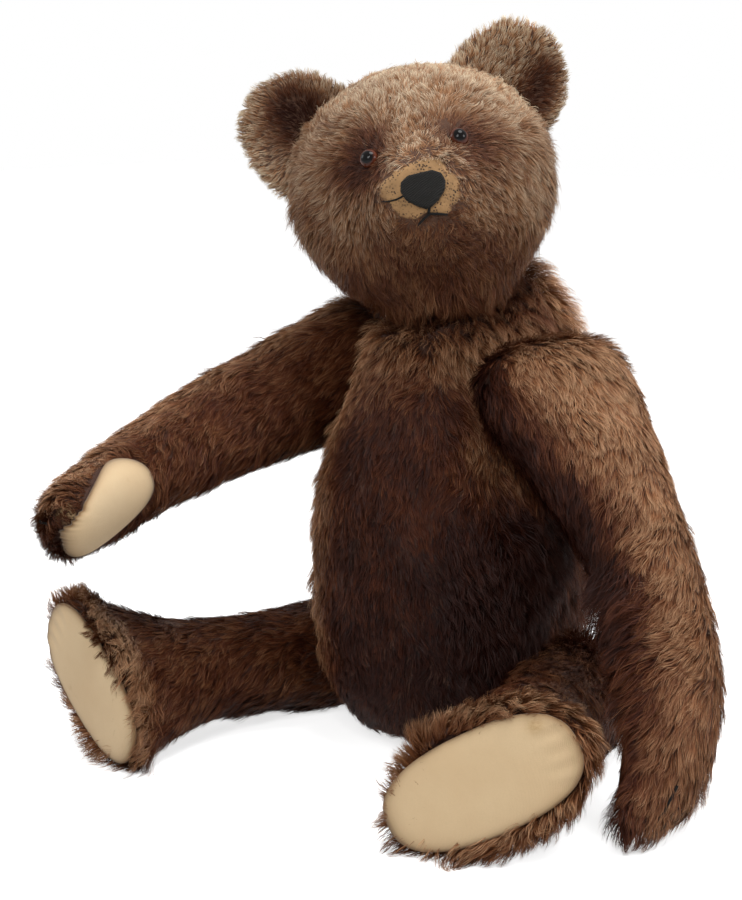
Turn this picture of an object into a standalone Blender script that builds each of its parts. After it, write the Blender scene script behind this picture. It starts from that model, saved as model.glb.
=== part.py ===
"""Disc-jointed mohair teddy bear, seated on the floor, about 60 cm tall when it stands.

The bear faces -Y, its own left is +X, and Z is up. The origin is on the floor, in the middle
of the flat underside that it sits on. Every size is in metres.

The head and the four limbs turn on disc joints. Each has a hardboard disc and a steel washer
on both sides of the cloth, and a cotter pin through them whose two tails are curled over.
"""

import math

import bmesh
import bpy
from mathutils import Matrix, Vector

# Clearances and sheet thicknesses
GAP = 0.0003
CLOTH = 0.0025
FELT = 0.0025
BOARD = 0.0015
FLOOR_FLAT = 0.0005

# Torso: heights above the floor, half widths, and reach to the front and to the back
TORSO_HEIGHT = 0.296
SEAT_HALF_WIDTH = 0.080
BELLY_HALF_WIDTH = 0.090
CHEST_HALF_WIDTH = 0.084
BELLY_FRONT = 0.092
CHEST_FRONT = 0.080
BELLY_BACK = 0.102
HUMP_BACK = 0.106
TORSO_TOP_RADIUS = 0.050

# Neck joint: the lean of its axis, and how far the head is turned to the bear's left
NECK_LEAN = math.radians(21.0)
HEAD_TURN = math.radians(40.0)
NECK_DISC_RADIUS = 0.025

# Head, measured from the middle of the neck joint
HEAD_HALF_WIDTH = 0.086
JAW_TAPER = 0.13
HEAD_HEIGHT = 0.152
HEAD_BACK = 0.086
MUZZLE_REACH = 0.116
MUZZLE_HALF_WIDTH = 0.033
MUZZLE_TOP = 0.098
MUZZLE_BOTTOM = 0.040
EYE_SPACING = 0.057
EYE_HEIGHT = 0.099
EYE_RADIUS = 0.0062
EYE_BACK = 0.0030
EYE_SINK = 0.0020
EYE_WIRE_RADIUS = 0.0006
EYE_WIRE_LENGTH = 0.010
EYE_LOOP_RADIUS = 0.0015

# Ears: half discs, cupped to the front and cut by the head
EAR_RADIUS = 0.040
EAR_HEIGHT = 0.051
EAR_THICKNESS = 0.014
EAR_CUP = 0.010
EAR_SIDE = 0.063
EAR_LIFT = 0.121
EAR_BACK = 0.004
EAR_LEAN = math.radians(40.0)
EAR_START = math.radians(-12.0)
EAR_SWEEP = math.radians(210.0)

# Nose, mouth and claws, worked in black thread
NOSE_WIDTH = 0.027
NOSE_LENGTH = 0.023
NOSE_THICKNESS = 0.0035
NOSE_HEIGHT = 0.070
NOSE_TILT = math.radians(19.0)
THREAD_RADIUS = 0.0009
MOUTH_DROP = 0.004
MOUTH_SPREAD = 0.009
CLAW_COUNT = 4
CLAW_START = 0.004
CLAW_LENGTH = 0.012
CLAW_SPACING = 0.0075

# Arms, measured along the limb from the middle of the shoulder joint
SHOULDER_LIFT = 0.2256
SHOULDER_INSET = 0.0212
SHOULDER_BACK = 0.0050
SHOULDER_TILT = math.radians(23.5)
SHOULDER_YAW = math.radians(20.5)
SHOULDER_DISC_RADIUS = 0.027
ARM_SWING_LEFT = math.radians(-1.0)
ARM_SWING_RIGHT = math.radians(61.0)
ARM_LENGTH = 0.278
ARM_END = 0.045
ARM_SEAT = 0.028
ARM_CANT = math.radians(14.5)
ARM_BOW = 0.0265
PAW_SHIFT = 0.060
PAW_SHIFT_TURN = math.radians(76.0)
PAW_START = 0.55
UPPER_ARM_HALF_WIDTH = 0.055
UPPER_ARM_HALF_THICKNESS = 0.045
ELBOW_HALF_WIDTH = 0.024
ELBOW_HALF_THICKNESS = 0.0385
PAW_HALF_WIDTH = 0.036
PAW_HALF_THICKNESS = 0.022
PAW_PAD_LENGTH = 0.092
PAW_PAD_WIDTH = 0.054
PAW_PAD_HEEL = 0.85
PAW_PAD_PAST_TIP = 0.006
PAW_PAD_SHIFT = 0.006
PAW_PAD_RISE = 0.008
PAW_PAD_FACING = math.radians(30.0)

# Legs, measured along the limb from the middle of the hip joint
HIP_LIFT = 0.0455
HIP_INSET = 0.0116
HIP_FORWARD = 0.0022
HIP_TILT = math.radians(12.5)
HIP_YAW = math.radians(14.0)
HIP_DISC_RADIUS = 0.025
LEG_SWING = math.radians(6.8)
LEG_LENGTH = 0.2006
LEG_END = 0.044
LEG_SEAT = 0.029
LEG_CANT = math.radians(3.5)
THIGH_HALF_THICKNESS = 0.047
THIGH_TOP = 0.041
THIGH_BOTTOM = 0.0452
SHIN_HALF_THICKNESS = 0.035
SHIN_TOP = 0.030
SHIN_BOTTOM = 0.035
FOOT_HALF_WIDTH = 0.041
FOOT_TOE = 0.074
FOOT_HEEL = 0.070
FOOT_TURNOUT = math.radians(47.3)
FOOT_PAD_LENGTH = 0.125
FOOT_PAD_WIDTH = 0.058
FOOT_PAD_HEEL = 0.94

# Joint hardware
DISC_THICKNESS = 0.003
WASHER_RADIUS = 0.010
WASHER_THICKNESS = 0.001
BORE_RADIUS = 0.0030
PIN_WIRE_RADIUS = 0.0011
PIN_CURL_RADIUS = 0.0034
PIN_CURL_SWEEP = 240.0
PIN_EYE_RADIUS = 0.0036

# Facets: sides of the torso's and the head's cage, of a limb's cage, and of turned pieces
BODY_SIDES = 8
LIMB_SIDES = 6
DISC_STEPS = 20
SMALL_STEPS = 14
POCKET_STEPS = 10

# Further than any part of the bear lies from a joint
REACH = 0.5


def clear_scene():
    for obj in list(bpy.data.objects):
        bpy.data.objects.remove(obj, do_unlink=True)


def make_collection(name):
    collection = bpy.data.collections.new(name)
    bpy.context.scene.collection.children.link(collection)
    return collection


clear_scene()
PARTS = make_collection("teddy_bear")
CUTTERS = make_collection("cutters")


def material(name, colour, roughness, metallic=0.0):
    mat = bpy.data.materials.new(name)
    mat.use_nodes = True
    shader = mat.node_tree.nodes["Principled BSDF"]
    shader.inputs["Base Color"].default_value = (*colour, 1.0)
    shader.inputs["Roughness"].default_value = roughness
    shader.inputs["Metallic"].default_value = metallic
    mat.diffuse_color = (*colour, 1.0)
    return mat


MOHAIR = material("brown_mohair", (0.13, 0.055, 0.028), 0.85)
HEAD_MOHAIR = material("faded_head_mohair", (0.21, 0.12, 0.075), 0.85)
FELT_CREAM = material("cream_felt", (0.72, 0.56, 0.38), 0.95)
EYE_GLASS = material("brown_glass", (0.10, 0.025, 0.008), 0.08)
THREAD = material("black_thread", (0.012, 0.011, 0.012), 0.6)
HARDBOARD = material("hardboard", (0.24, 0.13, 0.06), 0.8)
CARD = material("grey_card", (0.42, 0.38, 0.31), 0.9)
STEEL = material("steel", (0.45, 0.44, 0.42), 0.35, 1.0)


def add_object(name, data, mat=None, parent=None, matrix=None):
    """Link an object. One without a material is a cutter or a guide, which no view shows."""
    obj = bpy.data.objects.new(name, data)
    obj.parent = parent
    if matrix is not None:
        obj.matrix_local = matrix
    if mat is None:
        CUTTERS.objects.link(obj)
        obj.hide_render = True
        obj.display_type = "WIRE"
    else:
        PARTS.objects.link(obj)
        obj.data.materials.append(mat)
    return obj


def add_empty(name, matrix, parent=None):
    obj = bpy.data.objects.new(name, None)
    obj.parent = parent
    obj.matrix_local = matrix
    PARTS.objects.link(obj)
    return obj


def mesh_of(bm, name):
    bmesh.ops.recalc_face_normals(bm, faces=bm.faces)
    mesh = bpy.data.meshes.new(name)
    bm.to_mesh(mesh)
    bm.free()
    mesh.shade_smooth()
    return mesh


def boolean(obj, cutter, operation="DIFFERENCE"):
    cut = obj.modifiers.new(cutter.name, "BOOLEAN")
    cut.operation = operation
    cut.object = cutter


def subdivide(obj, levels=2):
    surface = obj.modifiers.new("swell", "SUBSURF")
    surface.levels = levels
    surface.render_levels = levels


def displace(obj, distance):
    offset = obj.modifiers.new("offset", "DISPLACE")
    offset.strength = distance
    offset.mid_level = 0.0


def ring_points(sides, centre, across, up, width, top, bottom, taper=0.0):
    """The cage points of one oval section, spread so that its smooth surface has these reaches."""
    swell = 3 / (2 + math.cos(2 * math.pi / sides))
    for step in range(sides):
        angle = (step + 0.5) * 2 * math.pi / sides
        side, rise = swell * math.cos(angle), swell * math.sin(angle)
        reach = top if rise > 0 else bottom
        side *= 1 - taper * max(-rise, 0.0)
        yield Vector(centre) + Vector(across) * side * width + Vector(up) * rise * reach


def ring_cage(name, rings, sides):
    """The coarse cage of a stuffed form, lofted through its sections and closed at both ends."""
    bm = bmesh.new()
    loops = [[bm.verts.new(point) for point in ring_points(sides, *ring)] for ring in rings]
    for lower, upper in zip(loops, loops[1:]):
        for step in range(sides):
            after = (step + 1) % sides
            bm.faces.new((lower[step], lower[after], upper[after], upper[step]))
    bm.faces.new(loops[0])
    bm.faces.new(loops[-1])
    return mesh_of(bm, name)


def stuffed_form(name, cage, mat, parent=None):
    obj = add_object(name, cage, mat, parent)
    subdivide(obj)
    return obj


def skin_cutter(name, cage, distance, parent=None):
    """The same form moved out by a distance, to cut what lies on it."""
    obj = add_object(name, cage, None, parent)
    subdivide(obj)
    displace(obj, distance)
    return obj


def box_cutter(name, low, high, parent=None):
    bm = bmesh.new()
    middle = (Vector(low) + Vector(high)) / 2
    bmesh.ops.create_cube(bm, size=1.0)
    bmesh.ops.scale(bm, vec=Vector(high) - Vector(low), verts=bm.verts)
    bmesh.ops.translate(bm, vec=middle, verts=bm.verts)
    return add_object(name, mesh_of(bm, name), None, parent)


def turned(name, profile, closed, mat=None, parent=None, matrix=None, steps=DISC_STEPS):
    """Turn an outline of (radius, height) points about Z. It runs down its outer side."""
    edges = [(index, index + 1) for index in range(len(profile) - 1)]
    if closed:
        edges.append((len(profile) - 1, 0))
    mesh = bpy.data.meshes.new(name)
    mesh.from_pydata([(radius, 0.0, height) for radius, height in profile], edges, [])
    obj = add_object(name, mesh, mat, parent, matrix)
    screw = obj.modifiers.new("turn", "SCREW")
    screw.steps = steps
    screw.render_steps = steps
    screw.use_merge_vertices = True
    screw.merge_threshold = 1e-6
    return obj


def flat_ring(name, inner, outer, bottom, thickness, mat, parent, steps=DISC_STEPS):
    top = bottom + thickness
    profile = [(inner, top), (outer, top), (outer, bottom), (inner, bottom)]
    return turned(name, profile, True, mat, parent, steps=steps)


def wire(name, points, radius, mat, parent=None, matrix=None):
    """A round wire or thread along its points."""
    curve = bpy.data.curves.new(name, "CURVE")
    curve.dimensions = "3D"
    curve.bevel_depth = radius
    curve.bevel_resolution = 1
    curve.use_fill_caps = True
    spline = curve.splines.new("POLY")
    spline.points.add(len(points) - 1)
    for place, point in zip(spline.points, points):
        place.co = (*point, 1.0)
    return add_object(name, curve, mat, parent, matrix)


def oval_outline(length, width, heel_share=1.0, steps=24):
    """An oval along +Y at its broad end; the far end narrows to heel_share of the width."""
    points = []
    for step in range(steps):
        angle = step * 2 * math.pi / steps
        narrow = (1 + heel_share) / 2 + (1 - heel_share) / 2 * math.sin(angle)
        points.append((width / 2 * math.cos(angle) * narrow, length / 2 * math.sin(angle)))
    return points


def plate(name, outline, low, high, mat=None, parent=None, matrix=None):
    """A flat sheet or a prism of an outline, from one height to another along Z."""
    curve = bpy.data.curves.new(name, "CURVE")
    curve.dimensions = "2D"
    curve.fill_mode = "BOTH"
    curve.extrude = (high - low) / 2
    spline = curve.splines.new("POLY")
    spline.points.add(len(outline) - 1)
    for place, (across, along) in zip(spline.points, outline):
        place.co = (across, along, 0.0, 1.0)
    spline.use_cyclic_u = True
    flat = bpy.data.objects.new(name + "_outline", curve)
    bpy.context.scene.collection.objects.link(flat)
    graph = bpy.context.evaluated_depsgraph_get()
    mesh = bpy.data.meshes.new_from_object(flat.evaluated_get(graph))
    bpy.data.objects.remove(flat, do_unlink=True)
    bm = bmesh.new()
    bm.from_mesh(mesh)
    bmesh.ops.remove_doubles(bm, verts=bm.verts, dist=1e-6)
    bmesh.ops.translate(bm, vec=(0.0, 0.0, (low + high) / 2), verts=bm.verts)
    bm.to_mesh(mesh)
    bm.free()
    mesh.name = name
    return add_object(name, mesh, mat, parent, matrix)


def frame_matrix(origin, x_axis, z_axis):
    """A place whose Z runs along z_axis and whose X leans as near x_axis as it can."""
    z = Vector(z_axis).normalized()
    y = z.cross(Vector(x_axis)).normalized()
    x = y.cross(z)
    turn = Matrix((x, y, z)).transposed()
    return Matrix.Translation(Vector(origin)) @ turn.to_4x4()


def joint_frame(origin, side, tilt, yaw, swing, start):
    """A limb's joint: Z points out along its axis, and X along the limb at its resting swing.

    tilt lifts the axis, yaw turns it to the front, and swing is measured from start, which is
    a direction for the left limb. The right limb is the mirror image.
    """
    axis = Vector((math.cos(tilt) * math.cos(yaw), -math.cos(tilt) * math.sin(yaw), math.sin(tilt)))
    base = (Vector(start) - axis * axis.dot(Vector(start))).normalized()
    along = Matrix.Rotation(swing, 3, -axis) @ base
    mirror = Vector((side, 1.0, 1.0))
    return frame_matrix(Vector(origin) * mirror, along * mirror, axis * mirror)


def coil(centre, start, turn, radius, steps, first, last):
    """Points round an arc in the plane of start and turn, between two angles in degrees."""
    points = []
    for step in range(steps + 1):
        angle = math.radians(first + (last - first) * step / steps)
        points.append(Vector(centre) + (start * math.cos(angle) + turn * math.sin(angle)) * radius)
    return points


def pocket_radius(radius):
    """The corner radius of a turned pocket whose flat sides clear a round piece."""
    return (radius + GAP) / math.cos(math.pi / POCKET_STEPS)


def joint_hardware(name, frame, inner, outer, radius):
    """Two discs, two washers and a cotter pin, and the pockets that hold them.

    inner is the form that carries the near disc, outer the form that turns with the pin.
    """
    near_disc = -CLOTH - GAP - DISC_THICKNESS
    near_washer = near_disc - GAP - WASHER_THICKNESS
    far_disc = GAP + CLOTH + GAP
    far_washer = far_disc + DISC_THICKNESS + GAP
    hole = BORE_RADIUS
    flat_ring(name + "_inner_disc", hole, radius, near_disc, DISC_THICKNESS, HARDBOARD, frame)
    flat_ring(name + "_outer_disc", hole, radius, far_disc, DISC_THICKNESS, HARDBOARD, frame)
    flat_ring(name + "_inner_washer", hole, WASHER_RADIUS, near_washer, WASHER_THICKNESS,
              STEEL, frame, SMALL_STEPS)
    flat_ring(name + "_outer_washer", hole, WASHER_RADIUS, far_washer, WASHER_THICKNESS,
              STEEL, frame, SMALL_STEPS)

    tail_room = 2 * PIN_CURL_RADIUS + 2 * PIN_WIRE_RADIUS + 3 * GAP
    near_end = near_washer - tail_room
    far_end = far_washer + WASHER_THICKNESS + 2 * PIN_EYE_RADIUS + 2 * PIN_WIRE_RADIUS + 3 * GAP
    wide = pocket_radius(radius)
    narrow = pocket_radius(WASHER_RADIUS)
    near_step, far_step = near_disc - GAP / 2, far_disc + DISC_THICKNESS + GAP / 2
    near_pocket = turned(name + "_near_pocket", [
        (0.0, 2 * CLOTH), (hole, 2 * CLOTH), (hole, -CLOTH), (wide, -CLOTH), (wide, near_step),
        (narrow, near_step), (narrow, near_end), (0.0, near_end)],
        False, None, frame, None, POCKET_STEPS)
    far_pocket = turned(name + "_far_pocket", [
        (0.0, far_end), (narrow, far_end), (narrow, far_step), (wide, far_step),
        (wide, GAP + CLOTH), (hole, GAP + CLOTH), (hole, -2 * CLOTH), (0.0, -2 * CLOTH)],
        False, None, frame, None, POCKET_STEPS)
    boolean(inner, near_pocket)
    boolean(outer, far_pocket)

    out, across = Vector((0, 0, 1)), Vector((1, 0, 0))
    leg = PIN_WIRE_RADIUS + GAP / 2
    eye_rise = math.sqrt(PIN_EYE_RADIUS ** 2 - leg ** 2)
    eye_foot = far_washer + WASHER_THICKNESS + GAP + PIN_WIRE_RADIUS
    opening = math.degrees(math.asin(leg / PIN_EYE_RADIUS))
    eye = coil(out * (eye_foot + eye_rise), -out, across, PIN_EYE_RADIUS, 8, opening, 360 - opening)
    bend = near_washer - GAP - PIN_WIRE_RADIUS - PIN_CURL_RADIUS
    curl = coil(across * (leg + PIN_CURL_RADIUS) + out * bend, -across, -out,
                PIN_CURL_RADIUS, 6, 0, PIN_CURL_SWEEP)
    other = [Vector((-point.x, point.y, point.z)) for point in curl]
    wire(name + "_cotter_pin", curl[::-1] + eye + other, PIN_WIRE_RADIUS, STEEL, frame)


def seat_cutters(name, frame):
    """Boxes that fill each side of a joint's plane, to cut both forms flat against it."""
    outside = box_cutter(name + "_outside", (-REACH, -REACH, 0.0), (REACH, REACH, REACH), frame)
    inside = box_cutter(name + "_inside", (-REACH, -REACH, -REACH), (REACH, REACH, GAP), frame)
    return outside, inside


def torso_rings():
    """Sections from the seat up: share of the height, half width, front and back."""
    sections = (
        (-0.007, 0.62 * SEAT_HALF_WIDTH, 0.62 * BELLY_FRONT, 0.64 * BELLY_BACK),
        (0.12, 1.10 * SEAT_HALF_WIDTH, 1.00 * BELLY_FRONT, 1.02 * BELLY_BACK),
        (0.48, 1.03 * BELLY_HALF_WIDTH, 1.05 * BELLY_FRONT, 1.00 * BELLY_BACK),
        (0.81, CHEST_HALF_WIDTH, CHEST_FRONT, 1.06 * HUMP_BACK),
        (1.12, 0.80 * TORSO_TOP_RADIUS, 0.55 * TORSO_TOP_RADIUS, 0.76 * HUMP_BACK),
    )
    across, back = (1, 0, 0), (0, 1, 0)
    return [((0, 0, TORSO_HEIGHT * share - FLOOR_FLAT), across, back, half, rear, front)
            for share, half, front, rear in sections]


def head_rings():
    """Sections from the back of the head to the nose: place, half width, top and bottom."""
    crown, half = HEAD_HEIGHT, HEAD_HALF_WIDTH
    sections = (
        (HEAD_BACK, 0.60 * half, 0.84 * crown, 0.22 * crown),
        (0.48 * HEAD_BACK, 1.00 * half, 1.04 * crown, -0.02 * crown),
        (-0.20 * MUZZLE_REACH, 1.06 * half, 1.04 * crown, -0.06 * crown),
        (-0.50 * MUZZLE_REACH, 0.88 * half, 0.91 * crown, 0.01 * crown),
        (-0.80 * MUZZLE_REACH, 1.24 * MUZZLE_HALF_WIDTH, 1.06 * MUZZLE_TOP, 0.76 * MUZZLE_BOTTOM),
        (-MUZZLE_REACH, 0.86 * MUZZLE_HALF_WIDTH, 0.94 * MUZZLE_TOP, 1.12 * MUZZLE_BOTTOM),
    )
    rings = []
    for forward, width, top, bottom in sections:
        rise = (top - bottom) / 2
        rings.append(((0, forward, bottom + rise), (1, 0, 0), (0, 0, 1), width, rise, rise,
                      JAW_TAPER))
    return rings


def arm_middle(side, share):
    """The middle line of an arm: it cants and bows outwards, and its paw bends to the front."""
    along = max(share, 0.0)
    bow = ARM_BOW * 4 * along * (1 - along)
    bend = PAW_SHIFT * (max(along - PAW_START, 0.0) / (1 - PAW_START)) ** 2
    out = ARM_SEAT + along * ARM_LENGTH * math.tan(ARM_CANT) + bow
    return Vector((share * ARM_LENGTH, -side * bend * math.sin(PAW_SHIFT_TURN),
                   out - bend * math.cos(PAW_SHIFT_TURN)))


def arm_rings(side):
    """Sections along the arm: share of its length, half width and half thickness."""
    sections = (
        (-ARM_END / ARM_LENGTH, 1.08 * UPPER_ARM_HALF_WIDTH, 0.62 * UPPER_ARM_HALF_THICKNESS),
        (0.04, UPPER_ARM_HALF_WIDTH, UPPER_ARM_HALF_THICKNESS),
        (0.42, ELBOW_HALF_WIDTH, ELBOW_HALF_THICKNESS),
        (0.76, PAW_HALF_WIDTH, PAW_HALF_THICKNESS),
        (1.00, 0.96 * PAW_HALF_WIDTH, 0.84 * PAW_HALF_THICKNESS),
    )
    return [(arm_middle(side, share), (0, 1, 0), (0, 0, 1), width, half, half)
            for share, width, half in sections]


def leg_middle(share):
    """The middle line of a leg, canted out a little from the joint."""
    canted = max(share, 0.0) * LEG_LENGTH * math.tan(LEG_CANT)
    return Vector((share * LEG_LENGTH, 0, LEG_SEAT + canted))


def toeward(side, share=1.0):
    """Which way the toes lie, across the leg, at a share of their turn-out."""
    angle = share * FOOT_TURNOUT
    return Vector((0, -side * math.cos(angle), math.sin(angle)))


def leg_rings(side):
    """Sections from the thigh to the sole, whose long way turns out towards the foot."""
    sections = (
        (-LEG_END / LEG_LENGTH, 0.0, 0.6 * THIGH_HALF_THICKNESS, 0.6 * THIGH_TOP, 0.6 * THIGH_BOTTOM),
        (0.03, 0.0, THIGH_HALF_THICKNESS, THIGH_TOP, THIGH_BOTTOM),
        (0.44, 0.3, SHIN_HALF_THICKNESS, SHIN_TOP, SHIN_BOTTOM),
        (0.76, 0.9, 0.80 * FOOT_HALF_WIDTH, 0.58 * FOOT_TOE, 0.66 * FOOT_HEEL),
        (0.95, 1.0, 1.03 * FOOT_HALF_WIDTH, 1.03 * FOOT_TOE, 1.02 * FOOT_HEEL),
        (1.00, 1.0, 0.93 * FOOT_HALF_WIDTH, 0.97 * FOOT_TOE, 0.95 * FOOT_HEEL),
    )
    along = Vector((1, 0, 0))
    rings = []
    for share, turned_out, width, reach_up, reach_down in sections:
        up = toeward(side, turned_out)
        rings.append((leg_middle(share), up.cross(along), up, width, reach_up, reach_down))
    return rings


def surface_point(skin, origin, direction):
    """Where a line meets a form, and the way its surface faces there."""
    graph = bpy.context.evaluated_depsgraph_get()
    hit, place, normal, _ = skin.evaluated_get(graph).ray_cast(Vector(origin), Vector(direction))
    if not hit:
        raise ValueError(f"{skin.name}: nothing to sew on at {tuple(origin)}")
    return place, normal


def stitch(skin, start, end, direction, steps=4):
    """Points of a thread that lies on a form, seen from the way its stitches were pulled."""
    points = []
    for step in range(steps + 1):
        origin = Vector(start).lerp(Vector(end), step / steps)
        place, normal = surface_point(skin, origin, direction)
        points.append(place + normal * (THREAD_RADIUS + GAP))
    return points


def patch(name, cage, skin, outline, low, high, place, thickness, mat, parent):
    """A piece of cloth or thread work that lies on a form: an outline cut from its surface."""
    obj = stuffed_form(name, cage, mat, parent)
    displace(obj, GAP + thickness)
    boolean(obj, plate(name + "_outline", outline, low, high, None, parent, place), "INTERSECT")
    boolean(obj, skin)
    return obj


def build_torso():
    cage = ring_cage("torso", torso_rings(), BODY_SIDES)
    return stuffed_form("torso", cage, MOHAIR)


def build_head(torso):
    """The head with its ears, eyes, nose and mouth, all turned together on the neck joint."""
    neck = Matrix.Translation((0, 0, TORSO_HEIGHT)) @ Matrix.Rotation(NECK_LEAN, 4, "X")
    axis = add_empty("neck_axis", neck @ Matrix.Rotation(HEAD_TURN, 4, "Z"))
    level = add_empty("head_level", Matrix.Rotation(-NECK_LEAN, 4, "X"), axis)
    outside, inside = seat_cutters("neck", axis)
    boolean(torso, outside)

    cage = ring_cage("head", head_rings(), BODY_SIDES)
    head = stuffed_form("head", cage, HEAD_MOHAIR, level)
    boolean(head, inside)
    skin = skin_cutter("head_skin", cage, GAP, level)
    joint_hardware("neck", axis, torso, head, NECK_DISC_RADIUS)
    build_ears(level, skin)
    build_eyes(level, head, skin)
    build_nose(level, cage, skin)


def ear_mesh(name):
    """A cupped half disc, open at its edge, whose foot runs on into the head."""
    bm = bmesh.new()
    rows, columns = 2, 7
    grid = []
    for row in range(rows + 1):
        share = row / rows
        line = []
        for column in range(columns + 1):
            angle = EAR_START + EAR_SWEEP * column / columns
            across = EAR_RADIUS * share * math.cos(angle)
            rise = EAR_HEIGHT * share * math.sin(angle)
            line.append(bm.verts.new((across, -EAR_CUP * share ** 2, rise)))
        grid.append(line)
    for inner, outer in zip(grid, grid[1:]):
        for column in range(columns):
            bm.faces.new((inner[column], inner[column + 1], outer[column + 1], outer[column]))
    bmesh.ops.remove_doubles(bm, verts=bm.verts, dist=1e-6)
    return mesh_of(bm, name)


def build_ears(level, skin):
    for side, word in ((1, "left"), (-1, "right")):
        place = Matrix.Translation((side * EAR_SIDE, EAR_BACK, EAR_LIFT))
        lean = Matrix.Rotation(side * EAR_LEAN, 4, "Y")
        name = "ear_" + word
        ear = add_object(name, ear_mesh(name), HEAD_MOHAIR, level, place @ lean)
        sheet = ear.modifiers.new("thickness", "SOLIDIFY")
        sheet.thickness = EAR_THICKNESS
        sheet.offset = 0.0
        subdivide(ear, 1)
        boolean(ear, skin)


def eye_profile(steps=8):
    """From the middle of the glass dome, over its rim, to the middle of its flatter back."""
    points = []
    for step in range(steps + 1):
        angle = math.pi * step / steps
        rise = EYE_RADIUS if 2 * step <= steps else EYE_BACK
        points.append((EYE_RADIUS * math.sin(angle), rise * math.cos(angle) - EYE_RADIUS))
    return points


def build_eyes(level, head, skin):
    """Glass eyes on wire shanks, set in sockets in the head."""
    for side, word in ((1, "left"), (-1, "right")):
        place, normal = surface_point(skin, (side * EYE_SPACING / 2, -REACH, EYE_HEIGHT), (0, 1, 0))
        gaze = (normal + Vector((0, -1, 0))).normalized()
        matrix = frame_matrix(place + gaze * (EYE_RADIUS - EYE_SINK), (1, 0, 0), gaze)
        turned("eye_" + word, eye_profile(), False, EYE_GLASS, level, matrix, SMALL_STEPS)
        behind = -EYE_RADIUS - EYE_BACK - GAP
        top = Vector((0, 0, behind - EYE_WIRE_RADIUS))
        foot = top - Vector((0, 0, EYE_WIRE_LENGTH - 2 * EYE_LOOP_RADIUS))
        loop = coil(foot + Vector((EYE_LOOP_RADIUS, 0, 0)), Vector((-1, 0, 0)), Vector((0, 0, -1)),
                    EYE_LOOP_RADIUS, 8, 15, 300)
        wire("eye_shank_" + word, [top, foot] + loop, EYE_WIRE_RADIUS, STEEL, level, matrix)
        socket = pocket_radius(EYE_RADIUS)
        bore = 2 * EYE_LOOP_RADIUS + 2 * EYE_WIRE_RADIUS + GAP
        deep = behind - EYE_WIRE_LENGTH - 3 * EYE_WIRE_RADIUS
        hollow = turned("socket_" + word, [
            (0.0, EYE_RADIUS), (socket, EYE_RADIUS), (socket, behind), (bore, behind),
            (bore, deep), (0.0, deep)], False, None, level, matrix, POCKET_STEPS)
        boolean(head, hollow)


def nose_outline():
    """A shield: a broad rounded top, and sides that draw in to a blunt point below."""
    half, long = NOSE_WIDTH / 2, NOSE_LENGTH / 2
    return [(-0.55 * half, long), (-0.90 * half, 0.72 * long), (-half, 0.25 * long),
            (-0.86 * half, -0.25 * long), (-0.48 * half, -0.72 * long), (-0.12 * half, -long),
            (0.12 * half, -long), (0.48 * half, -0.72 * long), (0.86 * half, -0.25 * long),
            (half, 0.25 * long), (0.90 * half, 0.72 * long), (0.55 * half, long)]


def build_nose(level, cage, skin):
    """The stitched nose on the end of the muzzle, and the mouth in single threads below it."""
    facing = (0, -math.cos(NOSE_TILT), math.sin(NOSE_TILT))
    place = frame_matrix((0, -MUZZLE_REACH, NOSE_HEIGHT), (1, 0, 0), facing)
    patch("nose", cage, skin, nose_outline()[::-1], -0.5 * MUZZLE_REACH, 0.5 * MUZZLE_REACH,
          place, NOSE_THICKNESS, THREAD, level)
    back = (0, 1, 0)
    top = Vector((0, -REACH, NOSE_HEIGHT - NOSE_LENGTH / 2 - 2 * THREAD_RADIUS))
    fork = top - Vector((0, 0, MOUTH_DROP))
    wire("mouth_line", stitch(skin, top, fork, back), THREAD_RADIUS, THREAD, level)
    below = fork - Vector((0, 0, 3 * THREAD_RADIUS))
    corner = Vector((MOUTH_SPREAD, 0, -MOUTH_SPREAD / 2))
    other = Vector((-corner.x, 0, corner.z))
    smile = stitch(skin, below + other, below, back)[:-1] + stitch(skin, below, below + corner, back)
    wire("mouth_corners", smile, THREAD_RADIUS, THREAD, level)


def build_arm(side, word, torso):
    swing = ARM_SWING_LEFT if side > 0 else ARM_SWING_RIGHT
    origin = (CHEST_HALF_WIDTH - SHOULDER_INSET, SHOULDER_BACK, SHOULDER_LIFT)
    matrix = joint_frame(origin, side, SHOULDER_TILT, SHOULDER_YAW, swing, (0, 0, -1))
    axis = add_empty(f"shoulder_{word}_axis", matrix)
    outside, inside = seat_cutters("shoulder_" + word, axis)
    boolean(torso, outside)
    cage = ring_cage("arm_" + word, arm_rings(side), LIMB_SIDES)
    arm = stuffed_form("arm_" + word, cage, MOHAIR, axis)
    boolean(arm, inside)
    joint_hardware("shoulder_" + word, axis, torso, arm, SHOULDER_DISC_RADIUS)
    skin = skin_cutter(f"arm_{word}_skin", cage, GAP, axis)
    build_paw(side, word, cage, skin, axis)


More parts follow.
